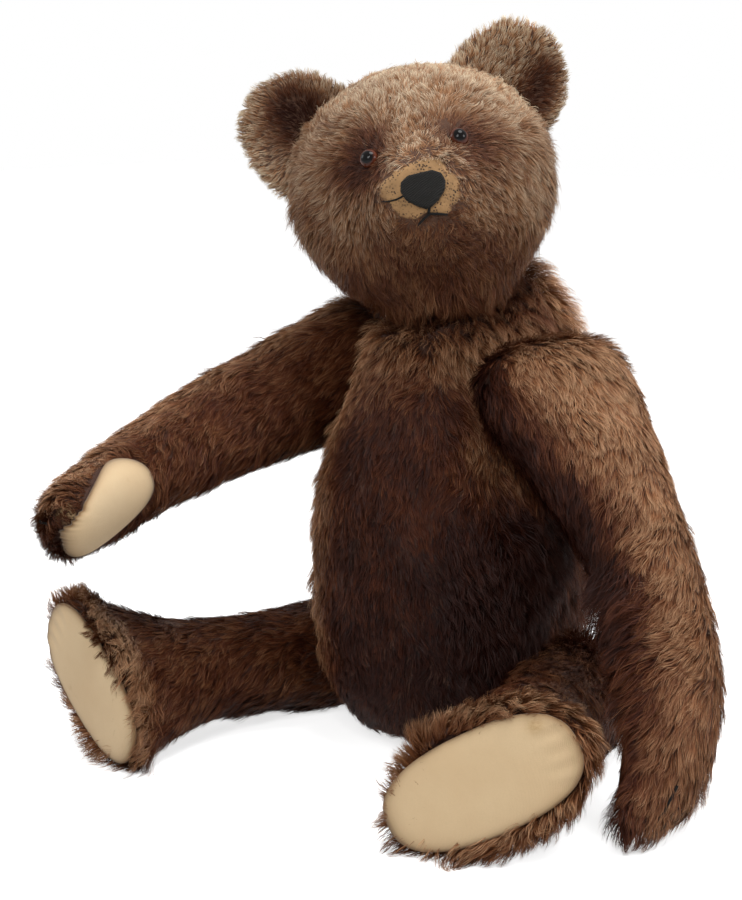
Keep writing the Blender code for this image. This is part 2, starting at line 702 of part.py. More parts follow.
def build_paw(side, word, cage, skin, axis):
    """The felt pad on the palm, and the claw stitches over the tip."""
    tip = arm_middle(side, 1.0)
    share = 1.0 - (PAW_PAD_LENGTH / 2 - PAW_PAD_PAST_TIP) / ARM_LENGTH
    centre = arm_middle(side, share)
    along = (tip - arm_middle(side, 2 * share - 1.0)).normalized()
    inward = Vector((0, -side * math.sin(PAW_PAD_FACING), -math.cos(PAW_PAD_FACING)))
    across = inward.cross(along).normalized()
    facing = along.cross(across)
    place = frame_matrix(centre + across * side * PAW_PAD_SHIFT, across, facing)
    outline = oval_outline(PAW_PAD_LENGTH, PAW_PAD_WIDTH, PAW_PAD_HEEL)
    patch("paw_pad_" + word, cage, skin, outline, PAW_PAD_RISE, REACH, place, FELT, FELT_CREAM, axis)
    for number in range(CLAW_COUNT):
        sideways = (number - (CLAW_COUNT - 1) / 2) * CLAW_SPACING
        start = tip + along * REACH + across * sideways - facing * CLAW_START
        claw = stitch(skin, start, start - facing * CLAW_LENGTH, -along)
        wire(f"claw_{word}_{number + 1}", claw, THREAD_RADIUS, THREAD, axis)


def build_leg(side, word, torso, floor):
    origin = (SEAT_HALF_WIDTH - HIP_INSET, -HIP_FORWARD, HIP_LIFT)
    matrix = joint_frame(origin, side, -HIP_TILT, -HIP_YAW, LEG_SWING, (0, -1, 0))
    axis = add_empty(f"hip_{word}_axis", matrix)
    outside, inside = seat_cutters("hip_" + word, axis)
    boolean(torso, outside)
    cage = ring_cage("leg_" + word, leg_rings(side), LIMB_SIDES)
    leg = stuffed_form("leg_" + word, cage, MOHAIR, axis)
    boolean(leg, inside)
    boolean(leg, floor)
    joint_hardware("hip_" + word, axis, torso, leg, HIP_DISC_RADIUS)
    build_sole(side, word, leg, axis)


def build_sole(side, word, leg, axis):
    """The felt sole pad and the card insole behind it, both let into the foot."""
    up, along = toeward(side), Vector((1, 0, 0))
    place = frame_matrix(leg_middle(1.0), up.cross(along), along)
    pad_outline, card_outline, hole_outline = (
        oval_outline(FOOT_PAD_LENGTH + 2 * edge, FOOT_PAD_WIDTH + 2 * edge, FOOT_PAD_HEEL)
        for edge in (0.0, -CLOTH, GAP))
    plate("foot_pad_" + word, pad_outline, -FELT, 0.0, FELT_CREAM, axis, place)
    card_top = -FELT - GAP
    plate("insole_" + word, card_outline, card_top - BOARD, card_top, CARD, axis, place)
    bottom = card_top - BOARD - GAP
    recess = plate("sole_recess_" + word, hole_outline, bottom, 2 * FELT, None, axis, place)
    boolean(leg, recess)


def build_bear():
    floor = box_cutter("floor", (-REACH, -REACH, -REACH), (REACH, REACH, 0.0))
    torso = build_torso()
    boolean(torso, floor)
    build_head(torso)
    for side, word in ((1, "left"), (-1, "right")):
        build_arm(side, word, torso)
        build_leg(side, word, torso, floor)


build_bear()
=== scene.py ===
"""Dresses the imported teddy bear: stuffed skins, combed mohair pile, felt pads, glass eyes and thread."""

from functools import partialmethod
from math import ceil, copysign, cos, exp, hypot, pi, radians, sin, tan

import bmesh
import bpy
import numpy as np
from mathutils import Matrix, Vector, bvhtree, kdtree


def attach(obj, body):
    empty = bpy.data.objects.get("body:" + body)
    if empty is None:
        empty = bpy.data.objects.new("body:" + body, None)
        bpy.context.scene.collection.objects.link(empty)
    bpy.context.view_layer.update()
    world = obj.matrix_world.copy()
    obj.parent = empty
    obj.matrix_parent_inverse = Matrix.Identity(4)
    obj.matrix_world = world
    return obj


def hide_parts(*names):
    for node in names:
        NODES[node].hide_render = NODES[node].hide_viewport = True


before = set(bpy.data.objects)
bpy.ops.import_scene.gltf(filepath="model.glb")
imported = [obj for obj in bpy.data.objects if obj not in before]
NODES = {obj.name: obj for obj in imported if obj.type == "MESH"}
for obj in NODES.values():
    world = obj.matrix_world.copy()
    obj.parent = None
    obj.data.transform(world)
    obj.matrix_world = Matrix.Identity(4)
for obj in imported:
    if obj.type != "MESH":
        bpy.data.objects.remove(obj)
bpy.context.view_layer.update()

# Camera: where it looks from, how far off, and where the bear sits in the picture
CAMERA_TURN = radians(36.5)
CAMERA_RISE = radians(10.8)
CAMERA_DISTANCE = 1.32
CAMERA_TARGET = Vector((0.0, 0.0, 0.2))
FOCAL_PIXELS = 1489.0 * CAMERA_DISTANCE
PICTURE_HEIGHT = 900.0
SENSOR = 36.0
TARGET_RIGHT, TARGET_UP = 79.0, 8.0

# The part's own sizes, in metres. In each pair, 1 is the bear's left and -1 its right
TORSO_HEIGHT = 0.296
FLOOR_FLAT = 0.0005
NECK_LEAN = radians(21.0)
HEAD_TURN = radians(40.0)
JAW_TAPER = 0.13
EAR_RADIUS = 0.040
EAR_HEIGHT = 0.051
EAR_THICKNESS = 0.014
EAR_CUP = 0.010
EAR_SIDE = 0.063
EAR_LIFT = 0.121
EAR_BACK = 0.004
EAR_LEAN = radians(40.0)
EAR_START = radians(-12.0)
EAR_SWEEP = radians(210.0)
EYE_SPACING = 0.057
EYE_HEIGHT = 0.099
EYE_RADIUS = 0.0062
EYE_BACK = 0.0030
NOSE_LENGTH = 0.023
NOSE_HEIGHT = 0.070
SHOULDER = (0.0628, 0.0050, 0.2256)
SHOULDER_TILT = radians(23.5)
SHOULDER_YAW = radians(20.5)
ARM_SWING = {1: radians(-1.0), -1: radians(61.0)}
ARM_LENGTH = 0.278
ARM_SEAT = 0.028
ARM_CANT = radians(14.5)
ARM_BOW = 0.0265
PAW_SHIFT = 0.060
PAW_SHIFT_TURN = radians(76.0)
PAW_START = 0.55
PAW_PAD_LENGTH = 0.092
PAW_PAD_HEEL = 0.85
PAW_PAD_PAST_TIP = 0.006
PAW_PAD_SHIFT = 0.006
PAW_PAD_FACING = radians(30.0)
HIP = (0.0684, -0.0022, 0.0455)
HIP_TILT = radians(12.5)
HIP_YAW = radians(14.0)
LEG_SWING = radians(6.8)
LEG_LENGTH = 0.2006
LEG_SEAT = 0.029
LEG_CANT = radians(3.5)
FOOT_TURNOUT = radians(47.3)
FOOT_PAD_HEEL = 0.94

# Rings of each stuffed form. The torso's: share of its height, half width, and reach in front and behind
TORSO_RINGS = (
    (-0.007, 0.0496, 0.05704, 0.06528), (0.12, 0.0880, 0.0920, 0.10404), (0.48, 0.0927, 0.0966, 0.1020),
    (0.81, 0.0840, 0.0800, 0.11236), (1.12, 0.0400, 0.0275, 0.08056))
# The head's: how far back, half width, top and bottom
HEAD_RINGS = (
    (0.0860, 0.0516, 0.12768, 0.03344), (0.04128, 0.0860, 0.15808, -0.00304),
    (-0.0232, 0.09116, 0.15808, -0.00912), (-0.0580, 0.07568, 0.13832, 0.00152),
    (-0.0928, 0.04092, 0.10388, 0.0304), (-0.1160, 0.02838, 0.09212, 0.0448))
# The arms': share of the length, half width and half thickness
ARM_RINGS = (
    (-0.045 / ARM_LENGTH, 0.0594, 0.0279), (0.04, 0.0550, 0.0450), (0.42, 0.0240, 0.0385),
    (0.76, 0.0360, 0.0220), (1.00, 0.03456, 0.01848))
# The legs': share of the length, of the foot's turnout, half width, and reach at the toe's and heel's side
LEG_RINGS = (
    (-0.044 / LEG_LENGTH, 0.0, 0.0282, 0.0246, 0.02712), (0.03, 0.0, 0.0470, 0.0410, 0.0452),
    (0.44, 0.3, 0.0350, 0.0300, 0.0350), (0.76, 0.9, 0.0328, 0.04292, 0.0462),
    (0.95, 1.0, 0.04223, 0.07622, 0.0714), (1.00, 1.0, 0.03813, 0.07178, 0.0665))
BODY_SIDES = 8
LIMB_SIDES = 6
CAGE_LEVELS = 4
EAR_LEVELS = 3

# Felt, thread and marks of wear, and where shade is painted in the ears' hollows
FELT = 0.0025
PAW_FELT_LENGTH = {1: 0.094, -1: 0.109}
PAW_FELT_WIDTH = {1: 0.046, -1: 0.052}
PAW_FELT_PLACE = {1: (0.007, -0.006), -1: (0.0024, -0.0022)}
PAW_FELT_LEAN = {1: 0.0, -1: radians(22.0)}
PAW_FELT_TURN = {1: radians(6.0), -1: radians(17.0)}
TORN_TURN = radians(244.0)
TORN_SPREAD = radians(24.0)
TORN_DEPTH = 0.10
BARE_SPOT = {1: (0.0, -0.050, 0.010), -1: (-0.0225, -0.037, 0.0105)}
SOLE_FELT_LENGTH = 0.130
SOLE_FELT_WIDTH = 0.0625
SOLE_STAIN = (-0.0175, 0.047, 0.0045)
FELT_RINGS = 18
WEAVE_STEP = 0.0011
STITCH_STEP = 0.00115
NOSE_SQUEEZE = 0.84
NOSE_PLUMP = 0.0005
MOUTH_FORK = 0.0580
# Each ear's hollow, where painted shade darkens the pile: across, up and spread
EAR_HOLLOW = {1: (0.018, 0.010, 0.013), -1: (0.008, 0.014, 0.017)}
THIGH_TUFT = (0.104, 0.018, 0.070)

# Pile: how far the backing lies under the solid's surface and behind the joints' planes, and the
# strands in each square metre
BACKING_DEPTH = 0.0030
TORSO_SETBACK = 0.0006
LIMB_SETBACK = 0.0009
PILE_DENSITY = 1050000
STRAND_WIDTH = 0.00038
STRAND_TAPER = (0.8, 1.0, 0.85, 0.6, 0.0)
STRANDS_PER_LOCK = 14
STRANDS_PER_PIECE = 28000
SHORTEST_STRAND = 0.0012
ROOT_DEPTH = 0.0004
COMB_WAVES = ((48, 0.8), (150, 1.0), (420, 0.5))
STRAY_CHANCE = 0.05
STRAY_LIFT = 1.7
DROOP = 0.10
# On the joints' planes: no pile within the first radius, and short pile within the second
BALD_JOINT = 0.030
SHORT_JOINT = 0.050
SHORT_PILE = 0.60
SHOULDER_RIM = 0.046
# How high no pile grows, and how near the floor the backing and the strands come
BALD_FLOOR = 0.0006
BACKING_FLOOR = 0.0002
STRAND_FLOOR = 0.0004

WORDS = {1: "left", -1: "right"}


# ---- materials

class Nodes:
    """Short calls that add nodes to a tree. A value is a node's output, a number or a colour."""

    def __init__(self, tree):
        self.tree = tree

    def feed(self, socket, value):
        if isinstance(value, bpy.types.NodeSocket):
            self.tree.links.new(value, socket)
        else:
            socket.default_value = (*value, 1.0) if isinstance(value, tuple) else value

    def node(self, kind, inputs=(), **settings):
        made = self.tree.nodes.new("ShaderNode" + kind)
        for key, value in settings.items():
            setattr(made, key, value)
        for key, value in dict(inputs).items():
            self.feed(made.inputs[key], value)
        return made

    def maths(self, operation, first, second=0.0, clamp=False):
        node = self.node("Math", {0: first, 1: second}, operation=operation, use_clamp=clamp)
        return node.outputs["Value"]

    plus = partialmethod(maths, "ADD")
    times = partialmethod(maths, "MULTIPLY")
    minus = partialmethod(maths, "SUBTRACT")

    def span(self, value, low, high):
        """0 where the value is at low, 1 where it is at high."""
        return self.node("MapRange", {"From Min": low, "From Max": high, "Value": value}).outputs["Result"]

    def mix(self, factor, first, second, blend="MIX"):
        inputs = {"Factor": factor, "A": first, "B": second}
        return self.node("Mix", inputs, data_type="RGBA", blend_type=blend).outputs["Result"]

    def ramp(self, value, *stops):
        node = self.node("ValToRGB", {"Fac": value})
        elements = node.color_ramp.elements
        while len(elements) < len(stops):
            elements.new(0.5)
        for element, (place, colour) in zip(elements, stops):
            element.position = place
            element.color = (*colour, 1.0)
        return node.outputs["Color"]

    def places(self):
        return self.node("TexCoord").outputs["Object"]

    def stored(self, name):
        return self.node("Attribute", attribute_name=name).outputs["Fac"]

    def noise(self, scale, detail=3.0, roughness=0.5, distortion=0.0):
        inputs = {"Scale": scale, "Detail": detail, "Roughness": roughness, "Distortion": distortion,
                  "Vector": self.places()}
        return self.node("TexNoise", inputs).outputs["Fac"]

    def seen(self):
        """1 in what the camera sees, also by reflection or through glass, and 0 in other light."""
        rays = self.node("LightPath").outputs
        straight = self.maths("ADD", rays["Is Camera Ray"], rays["Is Glossy Ray"], True)
        return self.maths("ADD", straight, rays["Is Transmission Ray"], True)


class Material(Nodes):
    """A new material, around Blender's own principled shader."""

    def __init__(self, name, roughness, specular=0.12, metallic=0.0):
        self.made = bpy.data.materials.new(name)
        self.made.use_nodes = True
        super().__init__(self.made.node_tree)
        self.shader = self.tree.nodes["Principled BSDF"]
        self.set("Roughness", roughness)
        self.set("Specular IOR Level", specular)
        self.set("Metallic", metallic)

    def set(self, key, value):
        self.feed(self.shader.inputs[key], value)

    def relief(self, height, strength, distance):
        node = self.node("Bump", {"Strength": strength, "Distance": distance, "Height": height})
        self.set("Normal", node.outputs["Normal"])

    def painted(self, colour):
        self.set("Base Color", colour)
        return self.made


def dimmer(colour, share):
    return tuple(share * part for part in colour)


def pile_material(name, root, middle, tip, faded_and_lit):
    """Mohair strands: dark at the root, lighter to the tip, and faded where the wear value says; that value
    also holds painted light. The shade value darkens or lightens them further: painted shade and painted
    light, besides the fur's own tone.
    """
    mat = Material(name, 0.48)
    pile = mat.node("Attribute", attribute_name="pile").outputs
    along, chance, shade = mat.node("SeparateColor", {"Color": pile["Color"]}).outputs
    fade_and_light = mat.times(mat.plus(mat.times(chance, 0.6), mat.times(pile["Alpha"], 1.4)), 0.5)
    fresh = mat.ramp(along, (0.0, root), (0.45, middle), (1.0, tip))
    pale = mat.ramp(along, (0.0, middle), (0.5, tip), (1.0, faded_and_lit))
    # The shade value: painted shade below the middle and painted light above it.
    depth = mat.ramp(shade, (0.0, (0.10, 0.045, 0.035)), (0.25, (0.40, 0.26, 0.22)),
                     (0.5, (1, 1, 1)), (1.0, (1.75, 1.8, 1.8)))
    return mat.painted(mat.mix(1.0, mat.mix(mat.span(fade_and_light, 0.20, 0.85), fresh, pale), depth, "MULTIPLY"))


def backing_material(name, underfur, cloth, speckle):
    """The skin under the pile: dense dark underfur, and bare woven cloth where the pile is gone."""
    mat = Material(name, 0.9, 0.5)
    patches = mat.noise(420.0, 4.0, 0.6)
    fur = mat.mix(mat.span(patches, 0.3, 0.7), dimmer(underfur, 0.6), underfur)
    tone = mat.mix(mat.span(mat.noise(90.0, 4.0), 0.35, 0.65), dimmer(cloth, 0.72), cloth)
    spots = mat.node("TexVoronoi", {"Scale": 640.0, "Vector": mat.places()}).outputs["Distance"]
    holes = mat.times(mat.span(spots, 0.42, 0.28), mat.span(mat.noise(150.0), 0.36, 0.52))
    edge = mat.plus(mat.stored("bare"), mat.times(mat.noise(260.0, 5.0, 0.7), 0.5))
    mat.relief(mat.plus(patches, mat.times(holes, -0.6)), 0.6, 0.0012)
    return mat.painted(mat.mix(mat.span(edge, 0.62, 0.86), fur, mat.mix(holes, tone, speckle)))


def felt_material(name, colour, worn, grime, stain):
    """Cream felt with a faint weave, worn and soiled in patches, and darker along its edge."""
    mat = Material(name, 0.95)
    mat.set("Sheen Weight", 0.15)
    base = mat.mix(mat.span(mat.noise(22.0, 4.0, 0.55), 0.38, 0.75), colour, worn)
    base = mat.mix(mat.span(mat.noise(60.0, 5.0, 0.6, 0.6), 0.64, 0.85), base, grime)
    stained = mat.times(mat.stored("stain"), mat.span(mat.noise(500.0), 0.05, 0.5))
    base = mat.mix(stained, base, stain)
    fibres = mat.noise(1500.0, 4.0, 0.7)
    base = mat.mix(mat.span(fibres, 0.1, 0.9), dimmer(colour, 0.86), base)
    x, y, z = mat.node("SeparateXYZ", {"Vector": mat.places()}).outputs
    level = mat.minus(x, y)
    grid = [mat.maths("SINE", mat.times(way, 2 * pi / WEAVE_STEP))
            for way in (mat.plus(level, z), mat.minus(level, z))]
    weave = mat.times(mat.times(*grid), 0.35)
    mat.relief(mat.plus(mat.plus(fibres, mat.noise(240.0, 4.0)), weave), 0.4, 0.0006)
    return mat.painted(mat.mix(mat.stored("rim"), base, dimmer(grime, 0.45)))


def plain_material(name, first, second, scale, roughness, metallic=0.0, relief=0.2):
    """Two mottled tones with a matching relief, for hardware, card, thread and board."""
    mat = Material(name, roughness, 0.5 if metallic else 0.12, metallic)
    spread = mat.noise(scale, 5.0, 0.6)
    mat.relief(spread, relief, 0.0004)
    return mat.painted(mat.mix(mat.span(spread, 0.3, 0.7), first, second))


def satin_stitch_material():
    """Black thread laid in rows: the thread value is the place across the rows, in metres."""
    mat = Material("black_thread_rows", 0.66, 0.14)
    wander = mat.times(mat.minus(mat.noise(160.0, 2.0), 0.5), 0.0016)
    rows = mat.times(mat.plus(mat.stored("thread"), wander), 2 * pi / STITCH_STEP)
    ridge = mat.plus(mat.times(mat.maths("SINE", rows), 0.5), 0.5)
    # Darker in the grooves between the rows and lighter on their crests: painted shade and a painted
    # highlight.
    tone = mat.mix(ridge, (0.002, 0.002, 0.002), (0.013, 0.012, 0.011))
    fuzz = mat.noise(900.0, 4.0, 0.7)
    mat.relief(mat.plus(ridge, mat.times(fuzz, 0.5)), 0.8, 0.0005)
    return mat.painted(mat.mix(mat.times(fuzz, 0.22), tone, (0.040, 0.037, 0.033)))


def eye_material():
    """Brown glass over a black pupil, by distance from the eye's own axis."""
    mat = Material("eye_glass_brown", 0.04, 0.14)
    return mat.painted(mat.ramp(
        mat.stored("iris"), (0.0, (0.0015, 0.001, 0.001)), (0.60, (0.002, 0.001, 0.001)),
        (0.68, (0.045, 0.011, 0.005)), (0.86, (0.10, 0.024, 0.010)), (1.0, (0.02, 0.006, 0.003))))


def stage_material():
    """White to the camera and in reflections; a darker floor to the light that it throws back up."""
    mat = Material("pale_floor", 0.9, 0.1)
    seen = mat.seen()
    glow = mat.node("Emission", {"Strength": mat.times(seen, 0.70)}).outputs["Emission"]
    both = mat.node("AddShader", {0: mat.shader.outputs["BSDF"], 1: glow}).outputs["Shader"]
    mat.feed(mat.tree.nodes["Material Output"].inputs["Surface"], both)
    return mat.painted(mat.mix(seen, (0.42, 0.40, 0.38), (0.86, 0.86, 0.86)))


BODY_PILE = pile_material("mohair_pile", (0.034, 0.009, 0.003), (0.115, 0.036, 0.013),
                          (0.255, 0.108, 0.047), (0.56, 0.36, 0.21))
HEAD_PILE = pile_material("mohair_pile_head", (0.055, 0.018, 0.007), (0.170, 0.074, 0.031),
                          (0.300, 0.152, 0.076), (0.60, 0.525, 0.385))
BODY_BACKING = backing_material("mohair_backing", (0.058, 0.020, 0.009), (0.40, 0.26, 0.13),
                                (0.05, 0.025, 0.015))
HEAD_BACKING = backing_material("mohair_backing_head", (0.075, 0.030, 0.013), (0.36, 0.205, 0.088),
                                (0.030, 0.012, 0.006))
BROWN = (BODY_BACKING, BODY_PILE, "brown_mohair")
FADED = (HEAD_BACKING, HEAD_PILE, "faded_head_mohair")
FELT_PAD = felt_material("cream_felt_pad", (0.78, 0.585, 0.355), (0.68, 0.47, 0.265),
                         (0.52, 0.31, 0.15), (0.36, 0.19, 0.04))
BLACK_THREAD = plain_material("black_thread", (0.003, 0.003, 0.003), (0.012, 0.011, 0.010), 900.0, 0.75)
BOARD_BROWN = plain_material("pressed_board", (0.20, 0.11, 0.055), (0.27, 0.155, 0.08), 700.0, 0.8)
CARD_GREY = plain_material("grey_card_fibre", (0.38, 0.34, 0.28), (0.46, 0.42, 0.35), 900.0, 0.9)
STEEL_DULL = plain_material("dull_steel", (0.36, 0.35, 0.33), (0.50, 0.49, 0.47), 300.0, 0.4, 1.0, 0.1)


# ---- objects and meshes

def add_object(name, data):
    obj = bpy.data.objects.new(name, data)
    bpy.context.scene.collection.objects.link(obj)
    return obj


def final_mesh(obj):
    """The mesh that an object's modifiers make. The object itself goes."""
    graph = bpy.context.evaluated_depsgraph_get()
    mesh = bpy.data.meshes.new_from_object(obj.evaluated_get(graph))
    bpy.data.objects.remove(obj)
    return mesh


def store(mesh, **values):
    """Keeps a number at each vertex, for the materials to read."""
    for name, numbers in values.items():
        mesh.attributes.new(name, "FLOAT", "POINT").data.foreach_set("value", numbers)


def closed_mesh(name, verts, faces, joined=1e-6, **values):
    """A smooth mesh that faces outwards, with the vertices joined that meet."""
    mesh = bpy.data.meshes.new(name)
    mesh.from_pydata([tuple(vert) for vert in verts], [], faces)
    store(mesh, **values)
    bm = bmesh.new()
    bm.from_mesh(mesh)
    bmesh.ops.remove_doubles(bm, verts=bm.verts, dist=joined)
    bmesh.ops.recalc_face_normals(bm, faces=bm.faces)
    bm.to_mesh(mesh)
    bm.free()
    mesh.shade_smooth()
    return mesh


def ring_faces(rings, steps, start=0):
    """The quads between rings of vertices that follow each other, from a first vertex on."""
    faces = []
    for low in range(start, start + rings * steps, steps):
        for step in range(steps):
            after, high = (step + 1) % steps, low + steps
            faces.append((low + step, low + after, high + after, high + step))
    return faces


def tube_faces(rings, steps):
    """The quads between rings, and the two ends."""
    last = rings * steps
    return ring_faces(rings, steps) + [tuple(range(steps)), tuple(range(last, last + steps))]


def place_piece(mesh, mat, slot, body, replaced=(), fill=None):
    """Makes a mesh one of the model's pieces, on a body, under the mesh's own name."""
    obj = add_object(mesh.name, mesh)
    mesh.materials.append(mat)
    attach(obj, body)
    if replaced:
        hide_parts(*replaced)


# ---- shapes of the part

def ring_points(sides, centre, across, up, width, top, bottom, taper=0.0):
    """A cage's ring, swollen so that the smooth form inside it has the stated half sizes."""
    swell = 3 / (2 + cos(2 * pi / sides))
    for step in range(sides):
        angle = (step + 0.5) * 2 * pi / sides
        side, rise = swell * cos(angle), swell * sin(angle)
        reach = top if rise > 0 else bottom
        side *= 1 - taper * max(-rise, 0.0)
        yield Vector(centre) + Vector(across) * side * width + Vector(up) * rise * reach


def cage_mesh(rings, sides):
    points = [point for ring in rings for point in ring_points(sides, *ring)]
    return closed_mesh("cage", points, tube_faces(len(rings) - 1, sides))


def frame_matrix(origin, x_axis, z_axis):
    z = Vector(z_axis).normalized()
    y = z.cross(Vector(x_axis)).normalized()
    turn = Matrix((y.cross(z), y, z)).transposed()
    return Matrix.Translation(Vector(origin)) @ turn.to_4x4()


def joint_frame(origin, side, tilt, yaw, swing, start):
    """A limb's frame: its x runs along the limb and its z is the joint's axis, outwards."""
    axis = Vector((cos(tilt) * cos(yaw), -cos(tilt) * sin(yaw), sin(tilt)))
    base = (Vector(start) - axis * axis.dot(Vector(start))).normalized()
    along = Matrix.Rotation(swing, 3, -axis) @ base
    mirror = Vector((side, 1.0, 1.0))
    return frame_matrix(Vector(origin) * mirror, along * mirror, axis * mirror)


def torso_rings():
    return [((0, 0, TORSO_HEIGHT * share - FLOOR_FLAT), (1, 0, 0), (0, 1, 0), half, rear, front)
            for share, half, front, rear in TORSO_RINGS]


def head_rings():
    return [((0, back, (top + bottom) / 2), (1, 0, 0), (0, 0, 1), half,
             (top - bottom) / 2, (top - bottom) / 2, JAW_TAPER) for back, half, top, bottom in HEAD_RINGS]


def arm_middle(side, share):
    along = max(share, 0.0)
    bow = ARM_BOW * 4 * along * (1 - along)
    bend = PAW_SHIFT * (max(along - PAW_START, 0.0) / (1 - PAW_START)) ** 2
    out = ARM_SEAT + along * ARM_LENGTH * tan(ARM_CANT) + bow
    return Vector((share * ARM_LENGTH, -side * bend * sin(PAW_SHIFT_TURN),
                   out - bend * cos(PAW_SHIFT_TURN)))


def arm_rings(side):
    return [(arm_middle(side, share), (0, 1, 0), (0, 0, 1), width, half, half)
            for share, width, half in ARM_RINGS]


def leg_middle(share):
    return Vector((share * LEG_LENGTH, 0, LEG_SEAT + max(share, 0.0) * LEG_LENGTH * tan(LEG_CANT)))


def toeward(side, share=1.0):
    angle = share * FOOT_TURNOUT
    return Vector((0, -side * cos(angle), sin(angle)))


def leg_rings(side):
    rings = []
    for share, turned_out, width, toe, heel in LEG_RINGS:
        up = toeward(side, turned_out)
        rings.append((leg_middle(share), up.cross(Vector((1, 0, 0))), up, width, toe, heel))
    return rings


def paw_frame(side):
    """The middle of a paw's felt: x across the paw, y back up the arm and z out of the palm."""
    tip = arm_middle(side, 1.0)
    share = 1.0 - (PAW_PAD_LENGTH / 2 - PAW_PAD_PAST_TIP) / ARM_LENGTH
    centre = arm_middle(side, share)
    along = (tip - arm_middle(side, 2 * share - 1.0)).normalized()
    inward = Vector((0, -side * sin(PAW_PAD_FACING), -cos(PAW_PAD_FACING)))
    across = inward.cross(along).normalized()
    place = frame_matrix(centre + across * side * PAW_PAD_SHIFT, across, along.cross(across))
    nudge = Matrix.Translation((-side * PAW_FELT_PLACE[side][0], PAW_FELT_PLACE[side][1], 0))
    turned = place @ nudge @ Matrix.Rotation(-side * PAW_FELT_TURN[side], 4, "Z")
    return turned @ Matrix.Rotation(PAW_FELT_LEAN[side], 4, "X")


def sole_frame(side):
    up, along = toeward(side), Vector((1, 0, 0))
    return frame_matrix(leg_middle(1.0), up.cross(along), along)


NECK_FRAME = Matrix.Translation((0, 0, TORSO_HEIGHT)) @ Matrix.Rotation(NECK_LEAN, 4, "X")
HEAD_FRAME = NECK_FRAME @ Matrix.Rotation(HEAD_TURN, 4, "Z") @ Matrix.Rotation(-NECK_LEAN, 4, "X")
ARM_FRAMES = {side: joint_frame(SHOULDER, side, SHOULDER_TILT, SHOULDER_YAW, ARM_SWING[side], (0, 0, -1))
              for side in (1, -1)}
LEG_FRAMES = {side: joint_frame(HIP, side, -HIP_TILT, -HIP_YAW, LEG_SWING, (0, -1, 0)) for side in (1, -1)}


# ---- surfaces as arrays

def to_row(matrix, points):
    matrix = np.array(matrix)
    return points @ matrix[:3, :3].T + matrix[:3, 3]


def into(matrix, points):
    """The points in the frame that a matrix places."""
    return to_row(np.linalg.inv(np.array(matrix)), points)


def unit(vectors):
    vectors = np.asarray(vectors)
    return vectors / np.maximum(np.linalg.norm(vectors, axis=-1, keepdims=True), 1e-12)


def ease(values, low, high):
    """Goes smoothly from 0 at low to 1 at high, also where low is the higher."""
    share = np.clip((np.asarray(values) - low) / (high - low), 0, 1)
    return share * share * (3 - 2 * share)


def bell(*parts):
    """1 where every part is 0, and soon 0 where any of them passes 1."""
    return np.exp(-sum(part ** 2 for part in parts))


def smooth_noise(points, scale, seed, waves=6):
    """A smooth random value, mostly from -1 to 1, at each point, from a few crossing sine waves."""
    chance = np.random.default_rng(seed)
    total = np.zeros(len(points))
    for _ in range(waves):
        direction = unit(chance.normal(size=3)) * scale * chance.uniform(0.6, 1.6)
        total += np.sin(points @ direction + chance.uniform(0, 2 * pi))
    return total / waves ** 0.5


def dot(first, second):
    return np.sum(first * second, -1, keepdims=True)


def joint_distance(places, joints):
    """How far each place is from the middle of the nearest joint."""
    return np.min([np.linalg.norm(places - np.array(joint)[:3, 3], axis=1) for joint in joints], axis=0)


def face_normals(places, faces):
    """Each quad's normal, twice as long as its area."""
    corner = places[faces]
    return np.cross(corner[:, 2] - corner[:, 0], corner[:, 3] - corner[:, 1])


def vertex_normals(places, faces):
    normals = np.zeros_like(places)
    for column in range(4):
        np.add.at(normals, faces[:, column], face_normals(places, faces))
    return unit(normals)


